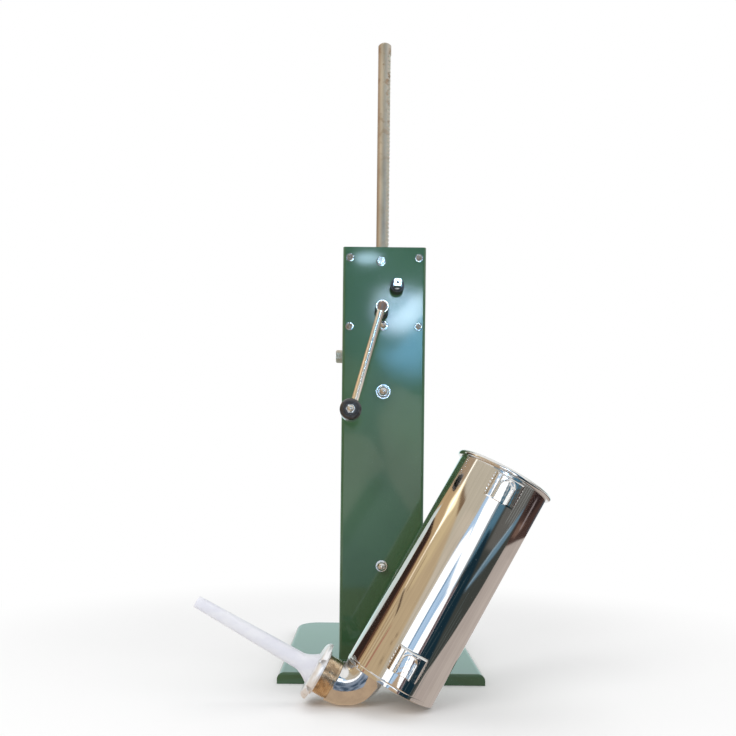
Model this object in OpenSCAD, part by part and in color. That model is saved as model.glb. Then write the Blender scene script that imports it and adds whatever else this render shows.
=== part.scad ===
/* [Base] */
// Width of the base tray
base_w = 280; // [240:1:340]
// Depth of the base tray
base_d = 370; // [340:1:420]
// Height of the base tray
base_h = 15; // [12:1:25]
// Sheet thickness of the base tray
base_t = 2; // [1.5:0.5:3]
// Corner radius at the front of the tray
base_corner_r = 40; // [20:1:60]
// Outside radius of the rolled side and front edges
base_edge_r = 9; // [5:1:10]
// Outside radius of the sharp rear fold
base_fold_r = 3; // [2.5:0.5:5]

/* [Column] */
// Width of the column
col_w = 116; // [112:1:140]
// Distance from the rear fold of the tray to the column face
col_setback = 41; // [30:1:60]
// Sheet thickness of the column
col_t = 2; // [1.5:0.5:3]
// Outside radius of the column folds
col_fold_r = 4; // [3.5:0.5:5]
// Depth of the column side flanges
flange_depth = 45; // [30:1:48]
// Depth of the head, from the column face to the front cover
head_depth = 150; // [148:1:180]
// Height of the underside of the head above the table
head_bottom = 452; // [446:1:500]
// Height of the head, from its underside to the column top
head_h = 148; // [146:1:156]
// Depth of the foot flange that is bolted to the tray
foot_depth = 40; // [30:1:50]

/* [Rack and piston] */
// Diameter of the rack bar
rack_d = 20; // [18:0.5:24]
// Height of the rack top above the table, piston raised
rack_top = 944; // [930:1:1000]
// Distance from the column face to the rack axis
rack_depth = 112; // [108:1:114]
// Gear module of the rack and its pinion
rack_module = 2; // [1.8:0.1:2.2]
// Teeth of the rack pinion
rack_pinion_teeth = 10; // [10:1:12]
// Thickness of the piston body
piston_h = 20; // [16:1:24]
// Gap between the raised piston and the head
piston_gap = 4; // [3:1:6]
// Radial gap between the piston body and the cylinder wall
piston_play = 1; // [0.5:0.25:2]

/* [Gearbox] */
// Gear module of the crank gears
gear_module = 1.5; // [1.4:0.1:1.6]
// Teeth of the crank pinion
crank_teeth = 12; // [12:1:13]
// Teeth of the drive gear
drive_teeth = 42; // [38:1:42]
// Height of the rack pinion axis above the underside of the head
pinion_rise = 91; // [88:1:94]
// Direction from the pinion axis to the crank axis, from straight down
crank_side_angle = 31.3; // [25:0.1:36]
// Diameter of both shafts in the column face
shaft_d = 12; // [11:0.5:13]
// Diameter of the shafts inside the head
seat_d = 10; // [9:0.5:10]
// Length of the free shaft end in front of the face
stub_len = 33; // [30:1:40]
// Outside diameter of the black shaft collars
collar_d = 19; // [17.5:0.5:20]
// Length of the black shaft collars
collar_len = 17; // [12:1:18]
// Thread diameter of the gearbox screws, bolt and stud
screw_d = 5; // [4:0.5:6]
// Distance across the gearbox screws, both ways
screw_pitch = 96; // [92:1:98]
// Distance from the column face to the inner bearing plate
plate_depth = 34; // [30:1:40]
// Thickness of the inner bearing plate
plate_t = 4; // [3:0.5:6]

/* [Crank] */
// Distance from the crank axis to the knob axis
crank_throw = 150; // [120:1:180]
// Angle of the crank arm from straight down
crank_angle = 15.5; // [0:0.5:40]
// Diameter of the crank rod
crank_rod_d = 10; // [8:0.5:12]
// Distance from the column face to the end of the crank boss
crank_reach = 41; // [38:1:50]
// Outside diameter of the crank boss
crank_boss_d = 16.5; // [16.5:0.5:20]
// Diameter of the knob
knob_d = 28; // [24:1:34]
// Length of the knob
knob_len = 60; // [45:1:80]

/* [Hangers] */
// Height of the upper hanger stud above the table
hanger_z = 398; // [396:1:402]
// Distance between the two hanger studs
hanger_pitch = 243; // [236:1:246]
// Diameter of the hanger studs
hanger_d = 8; // [7:0.5:9]

/* [Cylinder] */
// Inside diameter of the cylinder
cyl_bore = 115; // [112:0.5:115]
// Wall thickness of the cylinder
cyl_wall = 1.5; // [1:0.25:1.75]
// Length of the cylinder
cyl_len = 292; // [291:1:296]
// Diameter of the rolled bead at the mouth
bead_d = 6; // [4:0.5:7]
// Width of the hanging lugs
lug_w = 38; // [34:1:44]
// Height of the hanging lugs
lug_h = 32; // [30:1:33]
// Distance from the cylinder bottom to the middle of the lower lug
lug_low = 36; // [32:1:37]
// Distance between the middles of the two lugs
lug_pitch = 231; // [228:1:231]
// Distance from the middle of a lug up to the centre of its arch
lug_arch = 3; // [0:1:5]
// Outside diameter of the outlet elbow
elbow_d = 52; // [50:0.5:52]
// Wall thickness of the outlet elbow
elbow_wall = 1.5; // [1.5:0.25:2]
// Bend radius of the elbow, on its centre line
elbow_r = 28; // [27:0.5:34]
// Length of the weld collar above the bend
elbow_collar = 4.5; // [3:0.5:6]
// Sideways place of the cylinder, standing on the table
stand_x = 8; // [0:0.1:20]
// Distance from the tray to the axis of the standing cylinder
stand_gap = 91; // [80:1:120]
// Turn of the standing cylinder's lean about the vertical
stand_turn = 6.7; // [0:0.1:15]
// Turn of the lugs and the outlet round the cylinder, against the lean
stand_spin = 6.9; // [0:0.1:15]

/* [Nozzle] */
// Diameter of the threaded neck
neck_d = 50; // [48:0.5:50.5]
// Length of the threaded neck
neck_len = 22.5; // [20:0.5:26]
// Outside diameter of the ring nut
nut_d = 73; // [66:1:76]
// Thickness of the ring nut
nut_h = 11; // [9:0.5:12]
// Finger notches round the ring nut
nut_notches = 6; // [5:1:8]
// Distance that the rim of the ring nut is dished back
nut_dish = 7; // [3:0.5:7]
// Outside diameter of the nozzle at its tip
nozzle_tip_d = 15; // [12:0.5:18]
// Outside diameter of the nozzle tube where the cone begins
nozzle_root_d = 21; // [20:0.5:24]
// Outside diameter of the nozzle cone at the nut
nozzle_cone_d = 41; // [36:0.5:42]
// Length of the nozzle cone
nozzle_cone_len = 23; // [16:1:30]
// Length of the nozzle tube
nozzle_tube_len = 145; // [100:1:180]
// Wall thickness of the nozzle
nozzle_wall = 1.5; // [1:0.25:2]

/* [Fits] */
// Radial clearance of shafts, pins and the rack in their bores
fit = 0.05; // [0.03:0.01:0.08]
// Gap between parts that move past each other
gap = 0.3; // [0.2:0.05:0.5]
// Clearance at each gear tooth flank
flank_play = 0.12; // [0.08:0.01:0.2]

/* [Hidden] */
$fn = 64;
green = [0.30, 0.42, 0.31];
steel = [0.80, 0.80, 0.78];
zinc = [0.72, 0.70, 0.64];
black = [0.08, 0.08, 0.08];
brass = [0.72, 0.60, 0.35];
white = [0.93, 0.93, 0.91];
e = 0.01;
pressure_angle = 25;
tooth_top = 0.85;
tooth_root = 1.15;

// Places of the column and of what it carries, from the middle of the tray
col_top = head_bottom + head_h;
pinion_z = head_bottom + pinion_rise;
rear_y = -base_d / 2;
face_y = rear_y + col_setback;
inner_y = face_y + col_t;
rack_y = face_y + rack_depth;
front_y = face_y + head_depth;
plate_y = face_y + plate_depth;
inner_w = col_w - 2 * col_t;
rack_flat = rack_d / 2 - 1;
rack_pitch_x = rack_flat - tooth_top * rack_module;
rack_pinion_r = rack_module * rack_pinion_teeth / 2;
pinion_x = rack_pitch_x + rack_pinion_r;
gear_centres = gear_module * (crank_teeth + drive_teeth) / 2;
crank_x = pinion_x - gear_centres * sin(crank_side_angle);
crank_z = pinion_z - gear_centres * cos(crank_side_angle);
screw_top_z = col_top - 15;
screw_low_z = screw_top_z - screw_pitch;
top_bolt_at = [-5, screw_top_z - 5];
stud_at = [-1, screw_low_z + 1];
gear_y = inner_y + 9;
gear_w = 14;
rack_pinion_w = 20;
guide_t = 12;
brake_d = 10;
brake_boss_d = brake_d + 8;
brake_z = head_bottom + brake_boss_d / 2 + 3;
guide_z = brake_z + brake_boss_d / 2 + 1;
piston_z = head_bottom - piston_gap - piston_h;
piston_r = cyl_bore / 2 - piston_play;

// The cylinder, standing on its bottom edge and on the elbow
cyl_r = cyl_bore / 2 + cyl_wall;
outlet_x = cyl_r - elbow_d / 2 - 1;
bend_x = outlet_x + elbow_r;
outlet_depth = elbow_collar + elbow_r;
lean_arm = cyl_r + bend_x * cos(stand_spin);
lean_reach = sqrt(lean_arm * lean_arm + elbow_collar * elbow_collar);
function lean(r) = asin((r + elbow_d / 2) / lean_reach) + atan2(elbow_collar, lean_arm);
stand_tilt = lean(elbow_r * sqrt(1 - pow(sin(lean(elbow_r)) * sin(stand_spin), 2)));
stand_y = rear_y - stand_gap;
neck_end = bend_x + neck_len;
gasket_t = 1.5;
flange_t = 2;
nut_lip = 3;
nut_start = neck_end + gasket_t + flange_t + gap + nut_lip - nut_h;
lug_t = 2;
lug_stand = 9;
slot_r = hanger_d / 2 + 1.5;
head_r = hanger_d;
lug_face = cyl_r + lug_stand;
hanger_end = face_y + rack_depth - lug_face + lug_t + 1;

// Turns a piece drawn along Z so that it points towards the rear, from the given place
module facing_rear(x, y, z) {
  translate([x, y, z]) rotate([90, 0, 0]) children();
}

// Turns a piece drawn along Z so that it points towards the front, from the given place
module facing_front(x, y, z) {
  translate([x, y, z]) rotate([-90, 0, 0]) children();
}

// Puts a piece of the cylinder, drawn upright on its bottom, where the cylinder stands
module standing() {
  translate([stand_x, stand_y, cyl_r * sin(stand_tilt)])
    rotate([0, stand_tilt, stand_turn]) rotate([0, 0, -stand_spin]) children();
}

// Puts a piece drawn along Z on the outlet axis, which points away from the cylinder
module on_outlet(s) {
  standing() translate([-s, 0, -outlet_depth]) rotate([0, -90, 0]) children();
}

// A ring with a straight bore
module ring(outer_d, bore_d, h) {
  difference() {
    cylinder(d = outer_d, h = h);
    translate([0, 0, -e]) cylinder(d = bore_d, h = h + 2 * e);
  }
}

// A six-sided prism, measured across its flats
module hex(flats, h) {
  cylinder(d = flats / cos(30), h = h, $fn = 6);
}

// A domed cap nut on its seat, closed at the top
module dome_nut(flats, thread_d) {
  difference() {
    union() {
      hex(flats, flats * 0.45);
      translate([0, 0, flats * 0.45 - e]) cylinder(d = flats * 0.92, h = flats * 0.12);
      translate([0, 0, flats * 0.55]) intersection() {
        sphere(d = flats * 0.92);
        cylinder(d = flats, h = flats);
      }
    }
    translate([0, 0, -e]) cylinder(d = thread_d, h = flats * 0.7);
  }
}

// A pan head screw that points down from its head, with the head's seat at zero
module pan_screw(thread_d, len) {
  head_d = thread_d * 1.7;
  translate([0, 0, -len]) cylinder(d = thread_d, h = len + e);
  intersection() {
    cylinder(d = head_d, h = thread_d * 0.6);
    translate([0, 0, -head_d * 0.55]) sphere(d = head_d * 2.02);
  }
}

// Points of one involute flank, as radius and half-angle from the middle of the tooth
function inv_deg(a) = (tan(a) - a * PI / 180) * 180 / PI;
function flank_half(r, teeth, m, play) =
  let (pitch_r = m * teeth / 2, base_r = pitch_r * cos(pressure_angle))
  let (half = 90 / teeth - play / pitch_r * 180 / PI)
  r <= base_r ? half + inv_deg(pressure_angle) : half + inv_deg(pressure_angle) - inv_deg(acos(base_r / r));
function polar(r, a) = [r * cos(a), r * sin(a)];

// Outline of a spur gear with a tooth centred on the given direction
module gear_outline(teeth, m, direction) {
  pitch_r = m * teeth / 2;
  root_r = pitch_r - tooth_root * m;
  tip_r = pitch_r + tooth_top * m;
  start_r = max(root_r, pitch_r * cos(pressure_angle));
  steps = 4;
  radii = concat([root_r], [for (i = [0 : steps]) start_r + (tip_r - start_r) * i / steps]);
  last = len(radii) - 1;
  points = [
    for (k = [0 : teeth - 1], side = [-1, 1], i = [0 : last])
      let (r = radii[side < 0 ? i : last - i])
      polar(r, direction + k * 360 / teeth + side * flank_half(r, teeth, m, flank_play))
  ];
  polygon(points);
}

// Cross section through a folded edge: flat for the run, then round, down to the rim
module edge_profile(run, h, r) {
  square([run - r, h]);
  square([run, h - r]);
  translate([run - r, h - r]) circle(r);
}

// A solid tray with rolled sides and front, round front corners and a tight rear fold
module tray_solid(w, d, h, corner_r, edge_r, fold_r) {
  intersection() {
    union() {
      translate([0, d - corner_r, 0]) rotate([90, 0, 0]) linear_extrude(d - corner_r) {
        edge_profile(w / 2, h, edge_r);
        mirror([1, 0]) edge_profile(w / 2, h, edge_r);
      }
      translate([-(w / 2 - corner_r), d - corner_r, 0]) rotate([90, 0, 90])
        linear_extrude(w - 2 * corner_r) edge_profile(corner_r, h, edge_r);
      for (side = [0, 1]) mirror([side, 0, 0]) translate([w / 2 - corner_r, d - corner_r, 0])
        rotate_extrude(angle = 90) edge_profile(corner_r, h, edge_r);
    }
    translate([-w, d + 1, 0]) rotate([90, 0, 90]) linear_extrude(2 * w)
      mirror([1, 0]) edge_profile(d + 1, h, fold_r);
  }
}

module base() {
  color(green) difference() {
    translate([0, rear_y, 0])
      tray_solid(base_w, base_d, base_h, base_corner_r, base_edge_r, base_fold_r);
    translate([0, rear_y + base_t, -e]) tray_solid(
      base_w - 2 * base_t, base_d - 2 * base_t, base_h - base_t + e,
      base_corner_r - base_t, base_edge_r - base_t, base_fold_r - base_t
    );
    foot_holes(base_h - base_t - 1, base_t + 2);
  }
}

// The four bolt holes that the tray and the foot flange share
foot_bolt_d = 8;
foot_x = inner_w / 2 - 20;
module foot_holes(z, h) {
  for (x = [-foot_x, foot_x])
    translate([x, inner_y + foot_depth - 16, z]) cylinder(d = foot_bolt_d + 2 * fit, h = h);
}

// Side view of the column: slim flanges below, deep cheeks at the head
module cheek_outline() {
  polygon([
    [0, base_h], [flange_depth, base_h], [flange_depth, head_bottom - 62],
    [flange_depth + 30, head_bottom], [head_depth, head_bottom], [head_depth, col_top], [0, col_top]
  ]);
}

// Plan of the folded column, round at its two folds
module fold_plan(w, depth, r) {
  translate([-w / 2 + r, 0]) square([w - 2 * r, depth]);
  translate([-w / 2, r]) square([w, depth - r]);
  for (x = [-w / 2 + r, w / 2 - r]) translate([x, r]) circle(r);
}

module column() {
  color(green) difference() {
    union() {
      difference() {
        intersection() {
          translate([-col_w / 2, face_y, 0]) rotate([90, 0, 90]) linear_extrude(col_w) cheek_outline();
          translate([0, face_y, 0]) linear_extrude(col_top + 1) fold_plan(col_w, head_depth, col_fold_r);
        }
        translate([0, inner_y, 0]) linear_extrude(col_top + 1)
          fold_plan(inner_w, head_depth, col_fold_r - col_t);
      }
      translate([-inner_w / 2, inner_y - e, base_h]) cube([inner_w, foot_depth - col_t, col_t]);
    }
    for (p = screw_places())
      facing_rear(p[0], inner_y + 1, p[1]) cylinder(d = screw_d + 2 * fit, h = col_t + 2);
    facing_rear(crank_x, inner_y + 1, crank_z) cylinder(d = bush_d, h = col_t + 2);
    facing_rear(pinion_x, inner_y + 1, pinion_z) cylinder(d = bush_d, h = col_t + 2);
    for (z = [hanger_z, hanger_z - hanger_pitch])
      facing_rear(0, inner_y + 1, z) cylinder(d = hanger_d + 2 * fit, h = col_t + 2);
    translate([-col_w / 2 - 1, rack_y, brake_z]) rotate([0, 90, 0])
      cylinder(d = brake_boss_d, h = col_t + 2);
    foot_holes(base_h - 1, col_t + 2);
    for (x = [-1, 1], z = cover_screw_z())
      translate([x * col_w / 2 - 5 * x, front_y - 8, z]) rotate([0, 90 * x, 0]) cylinder(d = 4.1, h = 8);
  }
}

function screw_places() = concat(
  [for (x = [-screw_pitch / 2, screw_pitch / 2], z = [screw_low_z, screw_top_z]) [x, z]],
  [top_bolt_at, stud_at]
);
function corner_places() = [for (i = [0 : 3]) screw_places()[i]];
function cover_screw_z() = [head_bottom + 30, col_top - 30];
bush_d = shaft_d + 5;

// A plate with two lips turned down inside the cheeks
module head_top_cover() {
  lip = 6;
  top = col_top - 1;
  depth = head_depth - col_t - 3;
  color(green) difference() {
    translate([0, inner_y, top - lip]) linear_extrude(lip) fold_plan(inner_w, depth, col_fold_r - col_t);
    translate([-inner_w / 2 + col_t, inner_y - 1, top - lip - 1]) cube([inner_w - 2 * col_t, depth + 2, lip - col_t + 1]);
    translate([0, rack_y, top - lip]) cylinder(d = rack_d + 8, h = lip + 1);
  }
}

// The front of the head: a plate with lips that screw to the cheeks from outside
cover_drop = 15;
cover_lip = 16;
module front_cover() {
  w = inner_w - 2 * gap;
  low = head_bottom + 1;
  high = col_top - cover_drop;
  color(green) difference() {
    translate([-w / 2, front_y - cover_lip, low]) cube([w, cover_lip, high - low]);
    translate([-w / 2 + col_t, front_y - cover_lip - 1, low - 1])
      cube([w - 2 * col_t, cover_lip + 1 - col_t, high - low + 2]);
    facing_rear(pinion_x, front_y + 1, pinion_z) cylinder(d = bush_d - 2, h = col_t + 2);
    for (x = [-1, 1], z = cover_screw_z())
      translate([x * w / 2 - 5 * x, front_y - 8, z]) rotate([0, 90 * x, 0]) cylinder(d = 4.1, h = 8);
  }
}

module front_cover_screws() {
  color(zinc) for (x = [-1, 1], z = cover_screw_z())
    translate([x * col_w / 2, front_y - 8, z]) rotate([0, 90 * x, 0]) pan_screw(4, 7);
}

// The guide block below the gears, welded between the cheeks
module lower_guide() {
  w = inner_w;
  half = rack_d / 2 + 8;
  color(zinc) difference() {
    translate([-w / 2, rack_y - half, guide_z]) cube([w, 2 * half, guide_t]);
    translate([0, rack_y, guide_z - 1]) cylinder(d = rack_d + 2 * fit, h = guide_t + 2);
  }
}

module rack_bush() {
  low = col_top - 13;
  color(black) translate([0, rack_y, 0]) {
    translate([0, 0, low]) ring(rack_d + 8 - 2 * fit, rack_d + 2 * fit, 14);
    translate([0, 0, col_top - 1]) ring(rack_d + 14, rack_d + 2 * fit, 2);
  }
}

// The plate that carries the inner end of both shafts
module bearing_plate() {
  color(zinc) difference() {
    translate([-inner_w / 2 + gap, plate_y, screw_low_z - 12])
      cube([inner_w - 2 * gap, plate_t, screw_pitch + 19]);
    for (p = screw_places())
      facing_front(p[0], plate_y - 1, p[1]) cylinder(d = screw_d + 2 * fit, h = plate_t + 2);
    for (p = [[crank_x, crank_z], [pinion_x, pinion_z]])
      facing_front(p[0], plate_y - 1, p[1]) cylinder(d = seat_d + 6, h = plate_t + 2);
  }
}

module plate_spacers() {
  color(zinc) for (p = screw_places())
    facing_front(p[0], inner_y, p[1]) ring(1.75 * screw_d, screw_d + 2 * fit, plate_depth - col_t);
}

washer_t = 1.2;
screw_washer_d = 2.3 * screw_d;
bolt_washer_d = 2.7 * screw_d;
module gearbox_washers() {
  color(steel) {
    for (p = corner_places()) facing_rear(p[0], face_y, p[1]) ring(screw_washer_d, screw_d + 2 * fit, washer_t);
    for (p = [top_bolt_at, stud_at])
      facing_rear(p[0], face_y, p[1]) ring(bolt_washer_d, screw_d + 2 * fit, washer_t);
  }
}

module gearbox_screws() {
  color(steel) for (p = corner_places())
    facing_rear(p[0], face_y - washer_t, p[1]) pan_screw(screw_d, washer_t + plate_depth + plate_t + 7);
}

module top_bolt() {
  color(steel) facing_rear(top_bolt_at[0], face_y - washer_t, top_bolt_at[1]) {
    translate([0, 0, -washer_t - plate_depth - plate_t - 7])
      cylinder(d = screw_d, h = washer_t + plate_depth + plate_t + 7 + e);
    cylinder(d1 = 2.3 * screw_d, d2 = 2 * screw_d, h = 3);
  }
}

module gearbox_stud() {
  color(steel) facing_rear(stud_at[0], face_y - washer_t, stud_at[1]) {
    translate([0, 0, -washer_t - plate_depth - plate_t - 7])
      cylinder(d = screw_d, h = washer_t + plate_depth + plate_t + 8 + screw_d);
    dome_nut(2 * screw_d, screw_d);
  }
}

module plate_nuts() {
  color(zinc) for (p = screw_places())
    facing_front(p[0], plate_y + plate_t, p[1]) difference() {
      hex(2 * screw_d - 2, 0.8 * screw_d);
      translate([0, 0, -e]) cylinder(d = screw_d, h = screw_d);
    }
}

// A bush with a collar on the inside of the sheet or plate that holds it
module collar_bush(outer_d, bore_d, seat_t, collar_t) {
  ring(outer_d, bore_d, seat_t + collar_t);
  ring(outer_d + 5, bore_d, collar_t);
}

module crank_bushes() {
  color(brass) {
    facing_rear(crank_x, inner_y + 3, crank_z) collar_bush(bush_d, shaft_d + 2 * fit, col_t, 3);
    facing_rear(crank_x, plate_y + plate_t + 2, crank_z) collar_bush(seat_d + 6, seat_d + 2 * fit, plate_t, 2);
  }
}

module pinion_bushes() {
  color(brass) {
    facing_rear(pinion_x, inner_y + 3, pinion_z) collar_bush(bush_d, shaft_d + 2 * fit, col_t, 3);
    facing_rear(pinion_x, plate_y + plate_t + 2, pinion_z) collar_bush(seat_d + 6, seat_d + 2 * fit, plate_t, 2);
    facing_front(pinion_x, front_y - col_t - 4, pinion_z) collar_bush(bush_d - 2, seat_d + 2 * fit, col_t, 4);
  }
}

module shaft_collars() {
  color(black) for (p = [[crank_x, crank_z], [pinion_x, pinion_z]])
    facing_rear(p[0], face_y, p[1]) ring(collar_d, shaft_d + 2 * gap, collar_len);
}

// The hanger: a stud with a disc head that slips behind the cylinder's lug
module hanger_studs() {
  color(steel) for (z = [hanger_z, hanger_z - hanger_pitch]) {
    facing_front(0, face_y - 9, z) cylinder(d = hanger_d, h = hanger_end - face_y + 9);
    facing_front(0, hanger_end, z) cylinder(r = head_r, h = 3);
  }
}

module hanger_sleeves() {
  len = hanger_end - lug_t - 2 - inner_y;
  color(zinc) for (z = [hanger_z, hanger_z - hanger_pitch])
    facing_front(0, inner_y, z) ring(low_washer_d, hanger_d + 2 * fit, len);
}

hanger_washer_t = 1.6;
hanger_washer_d = 2.5 * hanger_d;
low_washer_d = 2 * hanger_d;
dome_flats = 1.625 * hanger_d;
module hanger_washers() {
  color(steel) {
    facing_rear(0, face_y, hanger_z) ring(hanger_washer_d, hanger_d + 2 * fit, hanger_washer_t);
    facing_rear(0, face_y, hanger_z - hanger_pitch) ring(low_washer_d, hanger_d + 2 * fit, hanger_washer_t);
  }
}

module hanger_dome_nuts() {
  color(steel) for (z = [hanger_z, hanger_z - hanger_pitch])
    facing_rear(0, face_y - hanger_washer_t, z) dome_nut(dome_flats, hanger_d);
}

brake_boss_len = 8;
module brake_boss() {
  color(zinc) translate([-inner_w / 2 - col_t, rack_y, brake_z]) rotate([0, 90, 0])
    ring(brake_boss_d, brake_d + 2 * fit, brake_boss_len + col_t);
}

module foot_bolts() {
  color(zinc) for (x = [-foot_x, foot_x]) translate([x, inner_y + foot_depth - 16, 0]) {
    translate([0, 0, base_h + col_t]) hex(13, 5.3);
    translate([0, 0, base_h - base_t - 8]) cylinder(d = foot_bolt_d, h = base_t + col_t + 8 + e);
    translate([0, 0, base_h - base_t - 6.5]) hex(13, 6.5);
  }
}

// The rack bar: a round bar with teeth cut along its right side and a stepped lower end
rack_low = piston_z + piston_h;
rack_shank_d = 12;
module rack_bar() {
  pitch = PI * rack_module;
  low_teeth = floor((pinion_z - rack_low - 30) / pitch);
  high_teeth = floor((rack_top - pinion_z - 14) / pitch);
  foot = pitch / 4 - flank_play + tooth_top * rack_module * tan(pressure_angle);
  crown = pitch / 4 - flank_play - tooth_top * rack_module * tan(pressure_angle);
  depth = tooth_root * rack_module;
  deep = pitch / 4 - flank_play + depth * tan(pressure_angle);
  bottom_x = rack_pitch_x - depth;
  outline = concat(
    [[-rack_d, rack_low], [rack_d, rack_low], [rack_d, pinion_z - low_teeth * pitch - pitch / 2]],
    [for (k = [-low_teeth : high_teeth], side = [-1, 1], i = [0, 1])
      let (inner = (side < 0) == (i == 0))
      [inner ? bottom_x : rack_flat, pinion_z + k * pitch + side * (inner ? deep : crown)]],
    [[rack_d, pinion_z + high_teeth * pitch + pitch / 2], [rack_d, rack_top], [-rack_d, rack_top]]
  );
  color(zinc) translate([0, rack_y, 0]) {
    intersection() {
      union() {
        translate([0, 0, rack_low]) cylinder(d = rack_d, h = rack_top - rack_low - 2);
        translate([0, 0, rack_top - 2 - e]) cylinder(d1 = rack_d, d2 = rack_d - 4, h = 2 + e);
      }
      translate([0, rack_d, 0]) rotate([90, 0, 0]) linear_extrude(2 * rack_d) polygon(outline);
    }
    translate([0, 0, piston_z - 12]) cylinder(d = rack_shank_d, h = rack_low - piston_z + 12 + e);
  }
}

// The piston: a plastic disc, grooved for its seal and dished underneath
valve_x = -34;
valve_d = 8;
seal_d = 6;
module piston_plate() {
  color(white) translate([0, rack_y, piston_z]) difference() {
    rotate_extrude() difference() {
      polygon([[0, 0], [piston_r - 3, 0], [piston_r, 3], [piston_r, piston_h - 2],
        [piston_r - 2, piston_h], [0, piston_h]]);
      translate([piston_r, piston_h / 2]) square([seal_d, seal_d + 0.2], center = true);
      polygon([[16, piston_h + 1], [16, piston_h - 4], [piston_r - 9, piston_h - 4], [piston_r - 8, piston_h + 1]]);
    }
    translate([0, 0, -1]) cylinder(d = rack_shank_d + 2 * fit, h = piston_h + 2);
    translate([valve_x, 0, -1]) cylinder(d = valve_d + 2 * fit, h = piston_h + 2);
  }
}

module piston_seal() {
  color(black) translate([0, rack_y, piston_z + piston_h / 2]) rotate_extrude() intersection() {
    translate([piston_r - seal_d / 2 + 0.1, -seal_d / 2]) square([seal_d / 2 + piston_play - 0.3, seal_d]);
    translate([piston_r, 0]) circle(d = seal_d + 1);
  }
}

module piston_nut() {
  color(steel) translate([0, rack_y, piston_z - 9]) {
    difference() {
      hex(19, 7);
      translate([0, 0, -1]) cylinder(d = rack_shank_d, h = 9);
    }
    translate([0, 0, 7]) ring(26, rack_shank_d + 2 * fit, 2);
  }
}

// The air valve: a mushroom that lifts to let trapped air out
valve_lift = 3;
module air_valve() {
  color(white) translate([valve_x, rack_y, piston_z]) {
    translate([0, 0, -3 - valve_lift]) cylinder(d = 15, h = 3);
    translate([0, 0, -valve_lift - e]) cylinder(d = valve_d, h = piston_h - 4 + valve_lift + 1);
    translate([0, 0, piston_h - 4]) cylinder(d = 13, h = 2.5);
  }
}

// A shaft end with four flats and a centre hole
module squared_end(h) {
  difference() {
    intersection() {
      cylinder(d = shaft_d, h = h);
      translate([0, 0, h / 2]) cube([shaft_d * 0.86, shaft_d * 0.86, h + 1], center = true);
    }
    translate([0, 0, h - 4]) cylinder(d = 3.2, h = 5);
  }
}

module crank_shaft() {
  inner_len = plate_depth + plate_t + 6;
  color(steel) {
    facing_rear(crank_x, inner_y + 4, crank_z) cylinder(d = shaft_d, h = col_t + 4 + collar_len + 1);
    facing_rear(crank_x, face_y - collar_len - 1, crank_z) squared_end(crank_reach - collar_len - 12);
    facing_front(crank_x, inner_y + 4 - e, crank_z) cylinder(d = seat_d, h = inner_len - col_t - 4);
  }
}

module crank_pinion() {
  away = atan2(pinion_z - crank_z, pinion_x - crank_x);
  color(steel) facing_rear(crank_x, gear_y + gear_w, crank_z) difference() {
    linear_extrude(gear_w) gear_outline(crank_teeth, gear_module, away + 180 / crank_teeth);
    translate([0, 0, -1]) cylinder(d = seat_d, h = gear_w + 2);
  }
}

// The crank arm: a boss on the shaft end and a straight rod welded across it
arm_y = face_y - crank_reach - crank_rod_d / 2 + 2;
boss_len = crank_reach - collar_len - 1;
module crank_arm() {
  color(steel) {
    facing_rear(crank_x, face_y - collar_len - 1, crank_z) difference() {
      cylinder(d = crank_boss_d, h = boss_len);
      translate([0, 0, -1]) intersection() {
        cylinder(d = shaft_d + 2 * fit, h = boss_len - 10);
        translate([0, 0, boss_len / 2]) cube([shaft_d * 0.86 + 2 * fit, shaft_d * 0.86 + 2 * fit, boss_len * 2], center = true);
      }
      translate([crank_boss_d / 2 + 1, 0, 6]) rotate([0, -90, 0]) cylinder(d = 5, h = crank_boss_d / 2);
    }
    translate([crank_x, arm_y, crank_z]) rotate([0, crank_angle, 0]) difference() {
      union() {
        translate([0, 0, -crank_throw]) cylinder(d = crank_rod_d, h = crank_throw + 7 - crank_rod_d / 2);
        translate([0, 0, 7 - crank_rod_d / 2]) sphere(d = crank_rod_d);
        translate([0, 0, -crank_throw]) sphere(d = crank_rod_d + 4);
      }
      translate([0, 10, -crank_throw]) rotate([90, 0, 0]) cylinder(d = pin_d, h = 20);
    }
  }
}

module crank_set_screw() {
  color(black) translate([crank_x + shaft_d * 0.43 + fit, face_y - collar_len - 7, crank_z])
    rotate([0, 90, 0]) cylinder(d = 5, h = crank_boss_d / 2 - shaft_d * 0.43 - fit);
}

// The knob turns on a long pin that is held by a cap nut at its free end
pin_d = 6;
knob_x = crank_x - crank_throw * sin(crank_angle);
knob_z = crank_z - crank_throw * cos(crank_angle);
knob_y = arm_y - crank_rod_d / 2 - 2 - gap;
module knob_pin() {
  color(steel) facing_rear(knob_x, arm_y + crank_rod_d / 2 + 2, knob_z)
    cylinder(d = pin_d, h = crank_rod_d + 4 + gap + knob_len + 5);
}

module knob() {
  r = knob_d / 2;
  color(black) facing_rear(knob_x, knob_y, knob_z) difference() {
    rotate_extrude() difference() {
      union() {
        translate([0, 0]) square([r - 4, knob_len]);
        translate([0, 3]) square([r - 2.5, knob_len - 6]);
        translate([0, knob_len * 0.5]) square([r, knob_len * 0.5 - 5]);
        translate([r - 5, knob_len - 5]) circle(5);
        polygon([[0, 4], [r - 3, 4], [r, knob_len * 0.5], [0, knob_len * 0.5]]);
      }
      translate([r - 5.5, knob_len]) circle(0.8);
    }
    translate([0, 0, -1]) cylinder(d = pin_d + 2 * fit, h = knob_len + 2);
  }
}

module knob_nut() {
  color(steel) facing_rear(knob_x, knob_y - knob_len - gap, knob_z) dome_nut(10, pin_d);
}

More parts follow.
